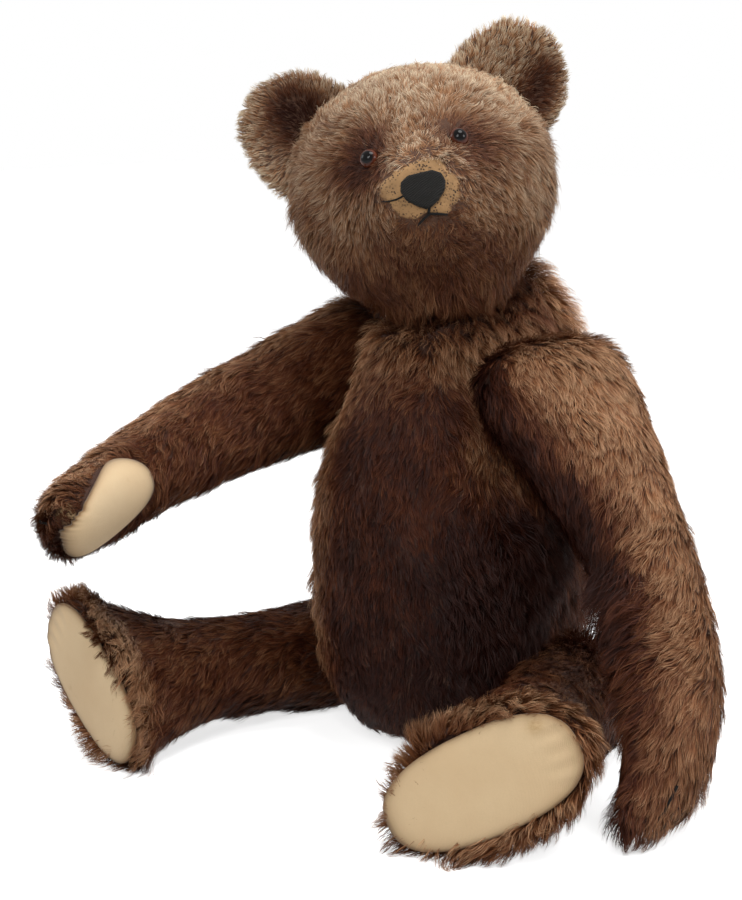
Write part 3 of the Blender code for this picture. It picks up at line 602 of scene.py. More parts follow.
class Surface:
    """A smooth form as arrays: places in its own frame and in the row frame, normals and faces.

    Its pile has a length, a density, a rise, a shade and a wear at each vertex. The shade holds painted
    shade and painted light besides the fur's own tone, and the wear holds painted light besides real
    fading."""

    def __init__(self, mesh, matrix, levels=CAGE_LEVELS):
        obj = add_object("form", mesh)
        obj.modifiers.new("swell", "SUBSURF").levels = levels
        fine = final_mesh(obj)
        count = len(fine.vertices)
        self.local = np.array([vertex.co[:] for vertex in fine.vertices])
        self.matrix = np.array(matrix)
        self.turn = self.matrix[:3, :3]
        self.faces = np.array([face.vertices[:] for face in fine.polygons])
        bpy.data.meshes.remove(fine)
        self.bare = np.zeros(count)
        self.length, self.dense, self.rise = np.ones((3, count))
        self.shade, self.wear_and_light = np.full((2, count), 0.5)
        self.refresh()

    def refresh(self):
        self.places = to_row(self.matrix, self.local)
        self.normals = vertex_normals(self.places, self.faces)

    def put(self, places):
        self.local = into(self.matrix, places)
        self.refresh()

    def move(self, distance):
        self.local = self.local + (self.normals @ self.turn) * np.reshape(distance, (-1, 1))
        self.refresh()

    def cut(self, matrix, outside, margin):
        """Flattens what lies beyond a joint's plane onto it. outside keeps the far side instead."""
        origin, normal = np.array(matrix)[:3, 3], np.array(matrix)[:3, 2]
        height = (self.places - origin) @ normal
        height = np.minimum(height - margin, 0) if outside else np.maximum(height + margin, 0)
        moved = self.places - height[:, None] * normal
        flat = np.abs(height) > 1e-5
        reach = np.linalg.norm(np.cross(moved - origin, normal), axis=1)
        self.dense[flat & (reach < BALD_JOINT)] = 0.0
        self.length[flat & (reach < SHORT_JOINT)] = SHORT_PILE
        self.put(moved)

    def sink(self, *joints):
        """Moves inwards by the pile's depth, and less near the joints, so that no gap opens there."""
        self.move(-BACKING_DEPTH * (0.4 + 0.6 * ease(joint_distance(self.places, joints), 0.035, 0.060)))

    def stand(self):
        """Flattens the underside onto the floor."""
        self.dense[self.places[:, 2] < BALD_FLOOR] = 0.0
        moved = self.places.copy()
        moved[:, 2] = np.maximum(moved[:, 2], BACKING_FLOOR)
        self.put(moved)

    def tree(self, matrix=Matrix()):
        """The form as a ray cast wants it, in its own frame or in one inside that."""
        return bvhtree.BVHTree.FromPolygons(into(matrix, self.local).tolist(), self.faces.tolist())

    def back(self, node, cloth, body, fill):
        """Makes the cloth backing, which stands for the node's solid."""
        self.node, self.cloth, self.body = node, cloth, body
        mesh = bpy.data.meshes.new(node + "_backing")
        mesh.from_pydata(self.places.tolist(), [], self.faces.tolist())
        mesh.shade_smooth()
        store(mesh, bare=self.bare.astype(np.float32))
        place_piece(mesh, cloth[0], cloth[2], body, [node], fill)


def head_form():
    return Surface(cage_mesh(head_rings(), BODY_SIDES), HEAD_FRAME)


def arm_form(side):
    return Surface(cage_mesh(arm_rings(side), LIMB_SIDES), ARM_FRAMES[side])


# ---- pile

def grow_pile(surface, flow, length, seed, density=1.0, lift=15.0, clump=0.36, curl=0.0014,
              swirl=0.25, streak=0.13):
    """Combed strands of mohair, rooted evenly over a surface and drawn together into wavy locks."""
    chance = np.random.default_rng(seed)
    faces, places = surface.faces, surface.places
    area = 0.5 * np.linalg.norm(face_normals(places, faces), axis=1)
    dense = surface.dense * (surface.length * length > SHORTEST_STRAND)
    weight = area * dense[faces].min(axis=1)
    count = int(weight.sum() * PILE_DENSITY * density)
    picked = np.searchsorted(np.cumsum(weight) / weight.sum(), chance.random(count))
    picked = np.minimum(picked, len(faces) - 1)
    u, v = chance.random((2, count))
    blend = np.stack([(1 - u) * (1 - v), u * (1 - v), u * v, (1 - u) * v], 1)

    def at(values):
        return np.einsum("ij,ij...->i...", blend, values[faces[picked]])

    def ripple(scale, step):
        return smooth_noise(root, scale, seed + step)

    root, normal = at(places), unit(at(surface.normals))

    # Locks: each strand belongs to the nearest heart strand
    hearts = chance.choice(count, max(count // STRANDS_PER_LOCK, 1), replace=False)
    tree = kdtree.KDTree(len(hearts))
    for index, heart in enumerate(hearts):
        tree.insert(root[heart], index)
    tree.balance()
    home = np.array([tree.find(point)[1] for point in root])
    heart = hearts[home]
    lock_chance = chance.random((5, len(hearts)))[:, home]

    # The comb: which way each strand lies, along the surface
    comb = unit(flow(root, normal))
    for scale, share in COMB_WAVES:
        waver = [ripple(scale, seed * 30 + scale + axis) for axis in range(3)]
        comb = comb + share * swirl * np.stack(waver, 1)
    comb = comb + 0.13 * chance.normal(size=(len(hearts), 3))[home] + 0.09 * chance.normal(size=(count, 3))
    comb = unit(comb - normal * dot(comb, normal))
    across = np.cross(normal, comb)

    # The strands: each leaves the skin at an angle, and bends down towards it
    reach = length * at(surface.length) * chance.uniform(0.85, 1.08, count) * (0.72 + 0.42 * lock_chance[0])
    angles = np.radians(lift) * at(surface.rise) * (1 + 0.35 * ripple(130, 50))
    stray = np.where(chance.random(count) < STRAY_CHANCE, STRAY_LIFT, 1.0)
    angles = angles * stray * chance.uniform(0.8, 1.2, count) * (0.65 + 0.7 * lock_chance[1])
    angles = np.clip(angles, 0.05, 1.45)
    rings = len(STRAND_TAPER)
    steps = np.linspace(0, 1, rings)
    points = np.empty((count, rings, 3))
    points[:, 0] = root - normal * ROOT_DEPTH
    for ring in range(1, rings):
        middle = (steps[ring] + steps[ring - 1]) / 2
        angle = angles * (1.45 - 1.3 * middle)
        heading = comb * np.cos(angle)[:, None] + normal * np.sin(angle)[:, None]
        heading[:, 2] -= DROOP * middle
        heading += normal * np.maximum(0.05 - dot(heading, normal), 0)
        points[:, ring] = points[:, ring - 1] + unit(heading) * (reach / (rings - 1))[:, None]
    wave = 2 * pi * ripple(110, 90) + 1.6 * lock_chance[2] + 0.3 * chance.normal(size=count)
    swing = curl * (0.5 + lock_chance[3]) * reach / 0.014
    for ring in range(1, rings):
        sway = swing * steps[ring] * np.sin(wave + 5.2 * steps[ring])
        points[:, ring] += across * sway[:, None]

    # The locks draw together towards their tips
    hold = clump * (0.65 + 0.5 * lock_chance[4])
    target = points[heart] + (root - root[heart])[:, None] * 0.12
    draw = np.clip(hold[:, None] * steps[None] ** 1.2, 0, 0.9)[:, :, None]
    points = points * (1 - draw) + target * draw
    points[:, :, 2] = np.maximum(points[:, :, 2], STRAND_FLOOR)

    # Each ribbon is turned a little about its own line
    along = unit(np.gradient(points, axis=1))
    roll = chance.uniform(-0.8, 0.8, count)
    sideways = across * np.cos(roll)[:, None] + normal * np.sin(roll)[:, None]
    sideways = unit(sideways[:, None] - along * dot(sideways[:, None], along))
    width = 0.5 * STRAND_WIDTH * chance.uniform(0.65, 1.3, count)[:, None, None]
    sideways = sideways * (width * np.array(STRAND_TAPER)[None, :, None])
    # The shade and wear carry the surface's painted shade and painted light, with random tone by lock and
    # by strand.
    shade = at(surface.shade) + 0.14 * (lock_chance[4] - 0.5) + 0.05 * ripple(160, 70)
    shade = shade + 0.07 * chance.normal(size=count)
    wear_and_light = at(surface.wear_and_light) + 0.12 * (lock_chance[1] - 0.5) + streak * chance.normal(size=count)
    tones = np.stack([chance.random(count), np.clip(shade, 0, 1), np.clip(wear_and_light, 0, 1)], 1)
    for number, first in enumerate(range(0, count, STRANDS_PER_PIECE), 1):
        part = slice(first, first + STRANDS_PER_PIECE)
        name = f"{surface.node}_pile_{number}"
        mesh = strand_mesh(name, points[part], sideways[part], steps, tones[part])
        place_piece(mesh, *surface.cloth[1:], surface.body)


def strand_mesh(name, middle, sideways, steps, tones):
    """Strands as tapered ribbons that end in a point, each with its own cell in the flat layout."""
    count, rings = len(middle), len(steps) - 1
    each = 2 * rings + 1
    grid = np.stack([middle - sideways, middle + sideways], 2)[:, :rings]
    verts = np.concatenate([grid.reshape(count, -1, 3), middle[:, -1:]], 1)
    quads = np.array([(low + 1, low, low + 2, low + 3) for low in range(0, 2 * rings - 2, 2)])
    tip = np.array([(each - 2, each - 3, each - 1)])
    base = (np.arange(count) * each)[:, None, None]
    corners = np.concatenate([(base + quads).ravel(), (base + tip).ravel()]).astype(np.int32)
    sizes = np.repeat([4, 3], [count * len(quads), count]).astype(np.int32)

    mesh = bpy.data.meshes.new(name)
    mesh.vertices.add(count * each)
    mesh.vertices.foreach_set("co", verts.ravel().astype(np.float32))
    mesh.loops.add(len(corners))
    mesh.loops.foreach_set("vertex_index", corners)
    mesh.polygons.add(len(sizes))
    mesh.polygons.foreach_set("loop_start", (np.cumsum(sizes) - sizes).astype(np.int32))
    mesh.polygons.foreach_set("loop_total", sizes)
    mesh.update(calc_edges=True)
    mesh.shade_smooth()

    level = np.append(np.repeat(steps[:rings], 2), 1.0)
    values = np.empty((count, each, 4), np.float32)
    values[:, :, 0] = level
    values[:, :, 1:] = tones[:, None]
    mesh.attributes.new("pile", "FLOAT_COLOR", "POINT").data.foreach_set("color", values.ravel())

    cells = ceil(count ** 0.5)
    column, row = np.divmod(np.arange(count), cells)
    spread = np.append(np.tile([0.1, 0.9], rings), 0.5)
    flat = np.stack([column[:, None] + spread, row[:, None] + 0.08 + 0.84 * level], 2) / cells
    baked = mesh.uv_layers.new(name="OFBake")
    baked.data.foreach_set("uv", flat.reshape(-1, 2)[corners].ravel().astype(np.float32))
    return mesh


# ---- edges of the felt

def pad_edge(length, width, heel, squareness, steps=120):
    """The outline of a pad: an oval, narrower at the heel and fuller than an ellipse."""
    ways = [(cos(2 * pi * step / steps), sin(2 * pi * step / steps)) for step in range(steps)]
    across, along = np.array([[copysign(abs(way) ** squareness, way) for way in pair] for pair in ways]).T
    narrow = (1 + heel + (1 - heel) * np.array(ways)[:, 1]) / 2
    return np.stack([across * narrow * width / 2, along * length / 2], 1)


def edge_share(points, edge):
    """How far out each point lies in a pad: under 1 is inside its edge. Points are (across, along)."""
    turn = np.arctan2(points[:, 1], points[:, 0])
    at = np.arctan2(edge[:, 1], edge[:, 0])
    order = np.argsort(at)
    reach = np.interp(turn, at[order], np.linalg.norm(edge, axis=1)[order], period=2 * pi)
    return np.linalg.norm(points[:, :2], axis=1) / reach


def palm_edge(side):
    """The cast onto the stuffed paw, and the edge of the felt that lies on its palm."""
    tree = arm_form(side).tree(paw_frame(side))

    def palm(x, y):
        place, normal, _, _ = tree.ray_cast(Vector((x, y, 0.2)), Vector((0, 0, -1)))
        return (place, normal) if place is not None and normal.z > 0.14 else None

    oval = pad_edge(PAW_FELT_LENGTH[side], PAW_FELT_WIDTH[side], PAW_PAD_HEEL, 0.86)
    if side < 0:
        turn = np.arctan2(oval[:, 1], oval[:, 0]) % (2 * pi)
        torn = bell((turn - TORN_TURN) / TORN_SPREAD)
        ragged = 0.06 * np.sin(23 * turn) * np.sin(41 * turn + 1) * torn
        oval = oval * (1 - TORN_DEPTH * torn + ragged)[:, None]
    shares = np.array([next(s for s in np.linspace(1, 0.3, 141) if palm(x * s, y * s)) for x, y in oval])
    shares = np.minimum(shares, np.mean([np.roll(shares, shift) for shift in range(-3, 4)], axis=0))
    return palm, oval * shares[:, None]


SOLE_EDGE = pad_edge(SOLE_FELT_LENGTH, SOLE_FELT_WIDTH, FOOT_PAD_HEEL, 0.80)


# ---- stuffed forms and their pile

def build_torso():
    torso = Surface(cage_mesh(torso_rings(), BODY_SIDES), Matrix())
    joints = (NECK_FRAME, *ARM_FRAMES.values(), *LEG_FRAMES.values())
    torso.sink(*joints)
    for matrix in joints:
        torso.cut(matrix, False, TORSO_SETBACK)
    torso.stand()
    x, _, z = torso.places.T
    front, up = -torso.normals[:, 1], torso.normals[:, 2]
    # Masks that paint light and shade into the pile. back, and hump below: the upper back is lighter,
    # painted light from behind over faded fur.
    back = ease(-front, 0.1, 0.8)
    # lit: the side towards the bear's right is lighter, painted light.
    lit = ease(torso.normals @ unit((-1.0, -0.25, 0.25)), 0.45, 0.95)
    # belly, under the head, is darker: painted shade with the fur's own darker colour. valley, between the
    # torso and the left arm, is painted shade.
    belly = ease(front, 0.2, 0.9) * ease(z, 0.27, 0.21) * (1 - lit)
    valley = ease(torso.normals @ (0.75, -0.66, 0.0), 0.45, 0.90) * ease(z, 0.265, 0.235)
    # low: darker low on the front. flank: darker low on the rear of the bear's left side. ruddy: a lighter,
    # redder patch of the fur's own.
    low = ease(z, 0.17, 0.05) * ease(front, -0.2, 0.6)
    hump = ease(z, 0.11, 0.26) * ease(-front, 0.1, 0.6)
    flank = ease(torso.normals[:, 0], 0.25, 0.75) * ease(z, 0.25, 0.10) * ease(front, -0.95, -0.60)
    ruddy = bell((x - 0.056) / 0.018, (z - 0.195) / 0.028) * (front > 0)
    beside_arm = ease(x, 0.045, 0.060) * ease(z, 0.045, 0.065) * ease(z, 0.17, 0.15)
    beside_arm *= ease(front, -1.0, -0.8)
    collar = ease(z, 0.258, 0.276)
    # throat: a painted shadow under the head. shoulder: painted light on the fur round the shoulders.
    throat = ease(z, 0.266, 0.286) * ease(front, -0.2, 0.3)
    shoulder = joint_distance(torso.places, ARM_FRAMES.values())
    shoulder = bell((shoulder - SHOULDER_RIM) / 0.013) * ease(up, -0.2, 0.5)
    # Besides the masks, the fur is lighter facing up and to the sides: faded fur and painted light.
    torso.shade = (0.50 - 0.38 * np.maximum(belly, valley) - 0.12 * low + 0.10 * back + 0.26 * lit
                   + 0.34 * hump + 0.20 * ruddy - 0.24 * flank - 0.20 * throat + 0.22 * shoulder)
    torso.wear_and_light = (0.10 + 0.42 * ease(up, 0.1, 0.8) + 0.18 * ease(np.abs(torso.normals[:, 0]), 0.6, 0.95)
                  + 0.40 * back * ease(z, 0.08, 0.26) + 0.40 * lit + 0.70 * hump - 0.30 * valley
                  - 0.45 * flank + 0.40 * shoulder)
    torso.length *= (1 - 0.18 * belly) * (
        1 + 0.72 * beside_arm + 0.55 * collar + 0.25 * hump + 0.12 * lit + 0.4 * shoulder)
    torso.rise *= 1 + 2.8 * beside_arm + 1.9 * collar + 1.0 * hump + 0.8 * lit + 1.0 * shoulder
    torso.back("torso", BROWN, "torso", 0.9)

    def flow(root, normal):
        """Down the body, and over the shoulders' edges."""
        way = np.stack([2.5 * root[:, 0], np.full(len(root), -0.1), np.full(len(root), -1.0)], 1)
        over = bell((joint_distance(root, ARM_FRAMES.values()) - SHOULDER_RIM) / 0.020)
        way[:, 0] += 1.6 * over * ease(root[:, 2], 0.21, 0.24) * np.sign(root[:, 0])
        return way

    grow_pile(torso, flow, 0.0140, 11)


def build_head():
    head = head_form()
    x, y, z = head.local.T
    bald = np.hypot((x + 0.0015) / 0.0205, (z - NOSE_HEIGHT - 0.0030) / 0.0150)
    bald = bald + 0.11 * smooth_noise(head.local, 330, 5) + 0.05 * smooth_noise(head.local, 900, 6)
    bald = np.where(y < -0.080, bald, 9.0)
    head.move(-BACKING_DEPTH * (0.06 + 0.94 * ease(bald, 0.95, 1.6)))
    x, y, z = head.local.T
    up = head.normals[:, 2]
    muzzle = ease(y, -0.050, -0.092)
    cheek = ease(np.abs(x), 0.03, 0.065) * ease(z, 0.12, 0.09)
    crown = ease(z, 0.11, 0.145)
    chin = ease(z, 0.062, 0.030) * ease(y, 0.04, -0.02)
    bridge = bell(x / 0.018, (z - 0.093) / 0.017) * (y < -0.06)
    mouth = bell(x / 0.014, (z - NOSE_HEIGHT + 0.014) / 0.011) * (y < -0.07)
    head.bare = np.clip((1.36 - bald) / 0.40, 0, 1)
    head.dense = 0.20 + 1.10 * ease(bald, 0.88, 1.30)
    head.length = (1 - 0.42 * muzzle) * (0.42 + 0.58 * ease(bald, 0.95, 1.8))
    head.length *= np.where(bald < 0.84, 0.0, 1 + 0.18 * cheek - 0.22 * crown) * (1 - 0.45 * mouth)
    # Lighter where the head faces up and darker where it faces down: painted light and painted shade over
    # the crown's faded fur. The chin is darker: painted shade with its fur's redder colour. The bear's left
    # cheek is a little lighter, the bridge above the nose has a painted highlight, and the fur below the
    # nose is darker and redder.
    head.shade = (0.46 + 0.20 * ease(up, 0.45, 1.0) - 0.12 * ease(-up, 0.0, 0.7) - 0.08 * chin
                  + 0.05 * ease(x, 0.02, 0.06) - 0.04 * mouth)
    head.wear_and_light = (0.44 + 0.46 * ease(up, 0.35, 0.95) - 0.28 * ease(-up, -0.1, 0.6) - 0.26 * chin
                 + 0.06 * bridge - 0.35 * mouth)
    for side in (1, -1):
        socket = (side * EYE_SPACING / 2, -0.085, EYE_HEIGHT - 0.001)
        near = bell(np.linalg.norm(head.local - socket, axis=1) / 0.0190)
        head.length *= 1 - 0.30 * near
        head.rise *= 1 + 0.5 * near
        # Darker round the eyes: painted shade in the sockets.
        head.shade -= 0.48 * near
        head.wear_and_light -= 0.75 * near
    head.cut(NECK_FRAME, True, LIMB_SETBACK)
    nape = ease(z, 0.020, 0.004)
    head.length *= 1 + 0.30 * nape
    head.rise *= 1 + 1.8 * nape
    head.back("head", FADED, "head", 0.9)

    def flow(root, normal):
        """Away from the nose, and down the cheeks."""
        local = into(head.matrix, root)
        out = unit(local - (0.0, -0.088, NOSE_HEIGHT + 0.006))
        below = ease(local[:, 2], 0.115, 0.055)
        beside = ease(np.abs(local[:, 0]), 0.012, 0.05)
        out[:, 2] -= 0.25 * beside + 0.85 * below * beside
        out[:, 1] += 0.2
        return out @ head.turn.T

    grow_pile(head, flow, 0.0175, 21, clump=0.30, curl=0.0015, swirl=0.20, streak=0.20)


def ear_mesh():
    """A cupped fan of quads about the ear's root, thickened into a pillow."""
    rows, columns = 2, 7
    angles = [EAR_START + EAR_SWEEP * column / columns for column in range(columns + 1)]
    points = [(EAR_RADIUS * share * cos(angle), -EAR_CUP * share ** 2, EAR_HEIGHT * share * sin(angle))
              for share in np.arange(rows + 1) / rows for angle in angles]
    faces = [face for face in ring_faces(rows, columns + 1) if face[1] > face[0]]
    holder = add_object("ear_flat", closed_mesh("ear_flat", points, faces))
    sheet = holder.modifiers.new("thickness", "SOLIDIFY")
    sheet.thickness = EAR_THICKNESS - 2 * BACKING_DEPTH
    sheet.offset = 0.0
    return final_mesh(holder)


def build_ear(side):
    place = HEAD_FRAME @ Matrix.Translation((side * EAR_SIDE, EAR_BACK, EAR_LIFT)) @ \
        Matrix.Rotation(side * EAR_LEAN, 4, "Y")
    ear = Surface(ear_mesh(), place, EAR_LEVELS)
    if np.sum(ear.normals * (ear.places - ear.places.mean(0))) < 0:
        ear.faces = ear.faces[:, ::-1]
        ear.refresh()
    x, _, z = ear.local.T
    across, up, spread = EAR_HOLLOW[side]
    cup = bell((x - across) / spread, (z - up) / 0.021)
    cup *= ease(-ear.normals @ ear.turn[:, 1], 0.1, 0.8)
    rim = ease(np.hypot(x / EAR_RADIUS, z / EAR_HEIGHT), 0.55, 0.9)
    # The hollow of the cup is darker: painted shade. The rim is lighter and the faces turned up get painted
    # light. The bear's left ear is lighter throughout.
    ear.shade = 0.48 - 0.60 * cup + 0.12 * rim + (0.10 if side > 0 else 0.02)
    ear.wear_and_light = 0.74 - 0.85 * cup + 0.44 * rim + 0.2 * ease(ear.normals[:, 2], 0.2, 0.9)
    ear.wear_and_light += 0.18 if side > 0 else 0.0
    ear.length = 0.85 - 0.30 * cup
    ear.back("ear_" + WORDS[side], FADED, "head", 0.7)

    def flow(root, normal):
        """Out from the ear's root."""
        out = unit(into(ear.matrix, root) + (0, 0, 0.02))
        out[:, 1] += 0.2
        return out @ ear.turn.T

    grow_pile(ear, flow, 0.0110, 31 + side, 1.1, 14)


def build_arm(side):
    name = "arm_" + WORDS[side]
    arm = arm_form(side)
    arm.sink(ARM_FRAMES[side])
    paw = np.array(paw_frame(side))
    palm_out = paw[:3, 2]
    pad = into(paw, arm.local)
    edges = palm_edge(side)[1]
    inside = edge_share(pad, edges)
    facing = (arm.normals @ arm.turn) @ palm_out
    arm.cut(ARM_FRAMES[side], True, LIMB_SETBACK)
    arm.dense[(inside < 0.91) & (facing > 0.05)] = 0.0
    near = ease(facing, -0.2, 0.1) * np.clip(1.25 - inside, 0, 0.25) / 0.25
    up = arm.normals[:, 2]
    outer = ease(arm.normals @ unit((side * 0.80, 0.45, 0.40)), -0.30, 0.60)
    share = arm.local[:, 0] / ARM_LENGTH
    crest = ease(up, 0.2, 0.8) * ease(share, 0.25, 0.05)
    # outer, the faces turned out, back and up, is lighter: faded fur and painted light. crest: a little
    # painted light on top by the shoulder. The paw's end is a little darker.
    arm.wear_and_light = 0.06 + 0.46 * outer + 0.16 * ease(up, 0.2, 0.9) + 0.06 * crest
    arm.shade = 0.24 + 0.30 * outer - 0.05 * ease(share, 0.75, 0.98) + 0.04 * crest
    arm.length *= (1.0 - 0.35 * near) * (1.20 - 0.20 * ease(share, -0.1, 0.1))
    arm.rise *= 1 + 1.7 * ease(share, 0.84, 0.94) * (1 - near)
    if side < 0:
        # paler: painted light on the upper faces of the lower right arm; the whole right arm is a little
        # lighter.
        paler = ease(share, 0.60, 0.85) * ease(up, -0.3, 0.6)
        arm.shade += 0.06 + 0.12 * paler
        arm.wear_and_light += 0.22 * paler
    else:
        bodyward = arm.normals @ (-0.80, -0.60, 0.0)
        inner = ease(bodyward, 0.2, 0.8) * ease(share, 0.36, 0.46) * ease(share, 0.84, 0.70)
        arm.length *= 1 + 0.65 * inner
        arm.rise *= 1 + 2.6 * inner
        # hollow: the left arm's inner face by the body is darker, painted shade between arm and body; the
        # lower half of the left arm is darker too.
        hollow = ease(bodyward, 0.25, 0.85) * ease(share, 0.65, 0.45)
        arm.wear_and_light -= 0.45 * hollow + 0.13 * ease(share, 0.5, 0.7)
        arm.shade -= 0.26 * hollow + 0.05 * ease(share, 0.5, 0.7)
    across, back, reach = BARE_SPOT[side]
    torn = bell((pad[:, 0] - across) / reach, (pad[:, 1] - back) / reach)
    torn = torn * (1 + 0.25 * smooth_noise(arm.local, 600, 8)) * ease(facing, -0.4, 0.0)
    arm.bare = np.clip(torn, 0, 1)
    arm.length *= 1 - 0.8 * arm.bare
    arm.back(name, BROWN, name, 0.85)
    shares = np.linspace(0, 1, 33)
    lines = unit([arm_middle(side, s + 0.02) - arm_middle(side, s) for s in shares])

    def flow(root, normal):
        """Down the arm, away from the felt, and on the left arm across it from the shoulder."""
        local = into(arm.matrix, root)
        share = np.clip(local[:, 0] / ARM_LENGTH, 0, 1)
        spot = into(paw, local)
        close = np.clip((1.6 - edge_share(spot, edges)) / 0.6, 0, 1)
        close = close * ((normal @ arm.turn) @ palm_out > -0.2)
        away = (unit(spot * (1.0, 0.4, 0.0)) @ paw[:3, :3].T) @ arm.turn.T
        way = lines[np.round(share * 32).astype(int)] @ arm.turn.T
        way[:, 2] -= 0.25
        if side > 0:
            sweep = (ease(share, 0.05, 0.35) * (1 - 0.7 * ease(share, 0.75, 0.95)))[:, None]
            way = way * (1 - 0.45 * sweep) + sweep * (-0.60, -0.45, -0.22)
        return way + 1.2 * close[:, None] * away

    grow_pile(arm, flow, 0.0160, 41 + side, clump=0.28, swirl=0.22)


def build_leg(side):
    name = "leg_" + WORDS[side]
    leg = Surface(cage_mesh(leg_rings(side), LIMB_SIDES), LEG_FRAMES[side])
    leg.sink(LEG_FRAMES[side])
    sole = np.array(sole_frame(side))
    pad = into(sole, leg.local)
    inside = edge_share(pad, SOLE_EDGE)
    leg.cut(LEG_FRAMES[side], True, LIMB_SETBACK)
    facing = (leg.normals @ leg.turn[:, 0]) > 0.5
    on_pad = ((inside < 1.0) & (pad[:, 2] > -0.014) & facing) | ((inside < 1.02) & (pad[:, 2] > -0.005))
    under_felt = facing & (pad[:, 2] > -0.012)
    leg.local[:, 0] -= np.where(under_felt, np.clip((1.05 - inside) / 0.05, 0, 1) * FELT, 0.0)
    leg.refresh()
    leg.dense[on_pad] = 0.0
    leg.stand()
    rim = ease(pad[:, 2], -0.034, -0.010)
    heel = ease(-pad[:, 1], 0.010, 0.050) * rim
    up = leg.normals[:, 2]
    leg.dense *= 1 + 0.8 * rim
    leg.rise *= 1 + rim * (2.1 - 0.7 * ease(up, -0.1, 0.6)) + 1.1 * heel
    leg.length *= 1 + 0.15 * rim + 0.55 * heel
    if side > 0:
        tuft = bell(np.linalg.norm(leg.places - THIGH_TUFT, axis=1) / 0.024)
        leg.length *= 1 + 0.75 * tuft
        leg.rise *= 1 + 3.2 * tuft
    # Lighter where the leg faces up and on the fur round the foot's rim, darker where it faces down:
    # painted light and painted shade.
    leg.wear_and_light = 0.06 + 0.14 * ease(up, 0.2, 0.9) + 0.60 * rim * ease(up, -0.3, 0.6)
    leg.shade = 0.28 + 0.02 * ease(up, 0.2, 0.9) + 0.28 * rim - 0.08 * ease(-up, 0.1, 0.9)
    leg.back(name, BROWN, name, 0.9)

    def flow(root, normal):
        """Down the leg, then out and around the foot beside the sole."""
        spot = into(sole, into(leg.matrix, root))
        edge = ease(spot[:, 2], -0.040, -0.006)
        away = unit(spot * (1.0, 1.0, 0.0)) @ sole[:3, :3].T @ leg.turn.T
        way = np.tile(leg.turn[:, 0], (len(root), 1))
        way[:, 2] -= 0.30 * (1 - edge)
        around = np.cross(away, leg.turn[:, 0])
        toe = ease(spot[:, 1], -0.040, 0.0)[:, None]
        turned = (1.2 - 0.5 * toe) * away + (0.2 + 0.9 * toe) * around
        return way * (1 + (0.3 - 0.8 * toe) * edge[:, None]) + edge[:, None] * turned

    grow_pile(leg, flow, 0.0145, 51 + side, lift=16)


# ---- pads, eyes and thread

def felt_piece(end, side, body, node, matrix, edge, layers, rim, fill):
    """Felt in rings from its middle to its edge. layers gives top, underside and stain at a place."""
    outer, inner, stains, rims = zip(*[(*layers(x, y, share), share ** rim)
                                       for share in np.arange(FELT_RINGS + 1) / FELT_RINGS
                                       for x, y in edge * share])
    steps, half = len(edge), len(outer)
    faces = [face[::-1] for face in ring_faces(FELT_RINGS, steps)] + ring_faces(FELT_RINGS, steps, half)
    for step in range(half - steps, half):
        after = step + 1 if step + 1 < half else half - steps
        faces.append((step, half + step, half + after, after))
    word = WORDS[side]
    mesh = closed_mesh(f"{end}_felt_{word}", outer + inner, faces, rim=rims * 2, stain=stains * 2)
    mesh.transform(matrix)
    place_piece(mesh, FELT_PAD, "cream_felt", body + word, [node + word], fill)


def build_paw_pad(side):
    """The palm: felt laid over the stuffed paw, a little crowned, with its edge turned under."""
    palm, edge = palm_edge(side)

    def layers(x, y, share):
        place, normal = palm(x, y)
        height = 0.0004 + 0.0014 * (1 - share ** 4) - 0.0010 * share ** 12
        return place + normal * height, place - normal * 0.0024, 0.0

    felt_piece("paw", side, "arm_", "paw_pad_", ARM_FRAMES[side] @ paw_frame(side), edge, layers, 14, 0.5)


def build_foot_pad(side):
    """The sole: felt drawn over the card, a little crowned, and creased where it has slackened."""
    across, along, spread = SOLE_STAIN

    def layers(x, y, share):
        crease = sin(x * 620 + 2 * sin(y * 90)) * exp(-((y - 0.054) / 0.010) ** 2)
        height = 0.0014 * (1 - share ** 3) + 0.0005 * crease * share - 0.0010 * share ** 12
        stain = exp(-(hypot(x - across, y - along) / spread) ** 2) if side > 0 else 0.0
        return (x, y, height), (x, y, -FELT), stain

    felt_piece("foot", side, "leg_", "foot_pad_", LEG_FRAMES[side] @ sole_frame(side), SOLE_EDGE, layers,
               16, 0.4)


def build_eyes():
    """Glass eyes: half a ball in front, flatter behind, looking along the CAD eye's own axis."""
    mat, steps, turns = eye_material(), 20, 48
    verts, iris = [], []
    for step in range(steps + 1):
        angle = pi * step / steps
        rise = EYE_RADIUS if 2 * step <= steps else EYE_BACK
        radius = EYE_RADIUS * sin(angle)
        for turn in range(turns):
            around = 2 * pi * turn / turns
            verts.append((radius * cos(around), radius * sin(around),
                          rise * cos(angle) - EYE_RADIUS))
            iris.append(radius / EYE_RADIUS)
    for side in (1, -1):
        word = WORDS[side]
        places = np.array([tuple(vertex.co) for vertex in NODES["eye_" + word].data.vertices])
        gaze = Vector(np.linalg.svd(places - places.mean(0))[2][2])
        if gaze.dot(HEAD_FRAME.to_3x3() @ Vector((0, -1, 0))) < 0:
            gaze = -gaze
        front = places[np.argmax(places @ np.array(gaze))]
        mesh = closed_mesh("glass_eye_" + word, verts, ring_faces(steps, turns), 1e-7, iris=iris)
        mesh.transform(frame_matrix(Vector(front), (1, 0, 0), gaze))
        place_piece(mesh, mat, "brown_glass", "head", ["eye_" + word])


def on_muzzle(tree, x, z):
    """The place on the muzzle's front, in the head's frame."""
    return tree.ray_cast(Vector((x, -0.3, z)), Vector((0, 1, 0)))[0]


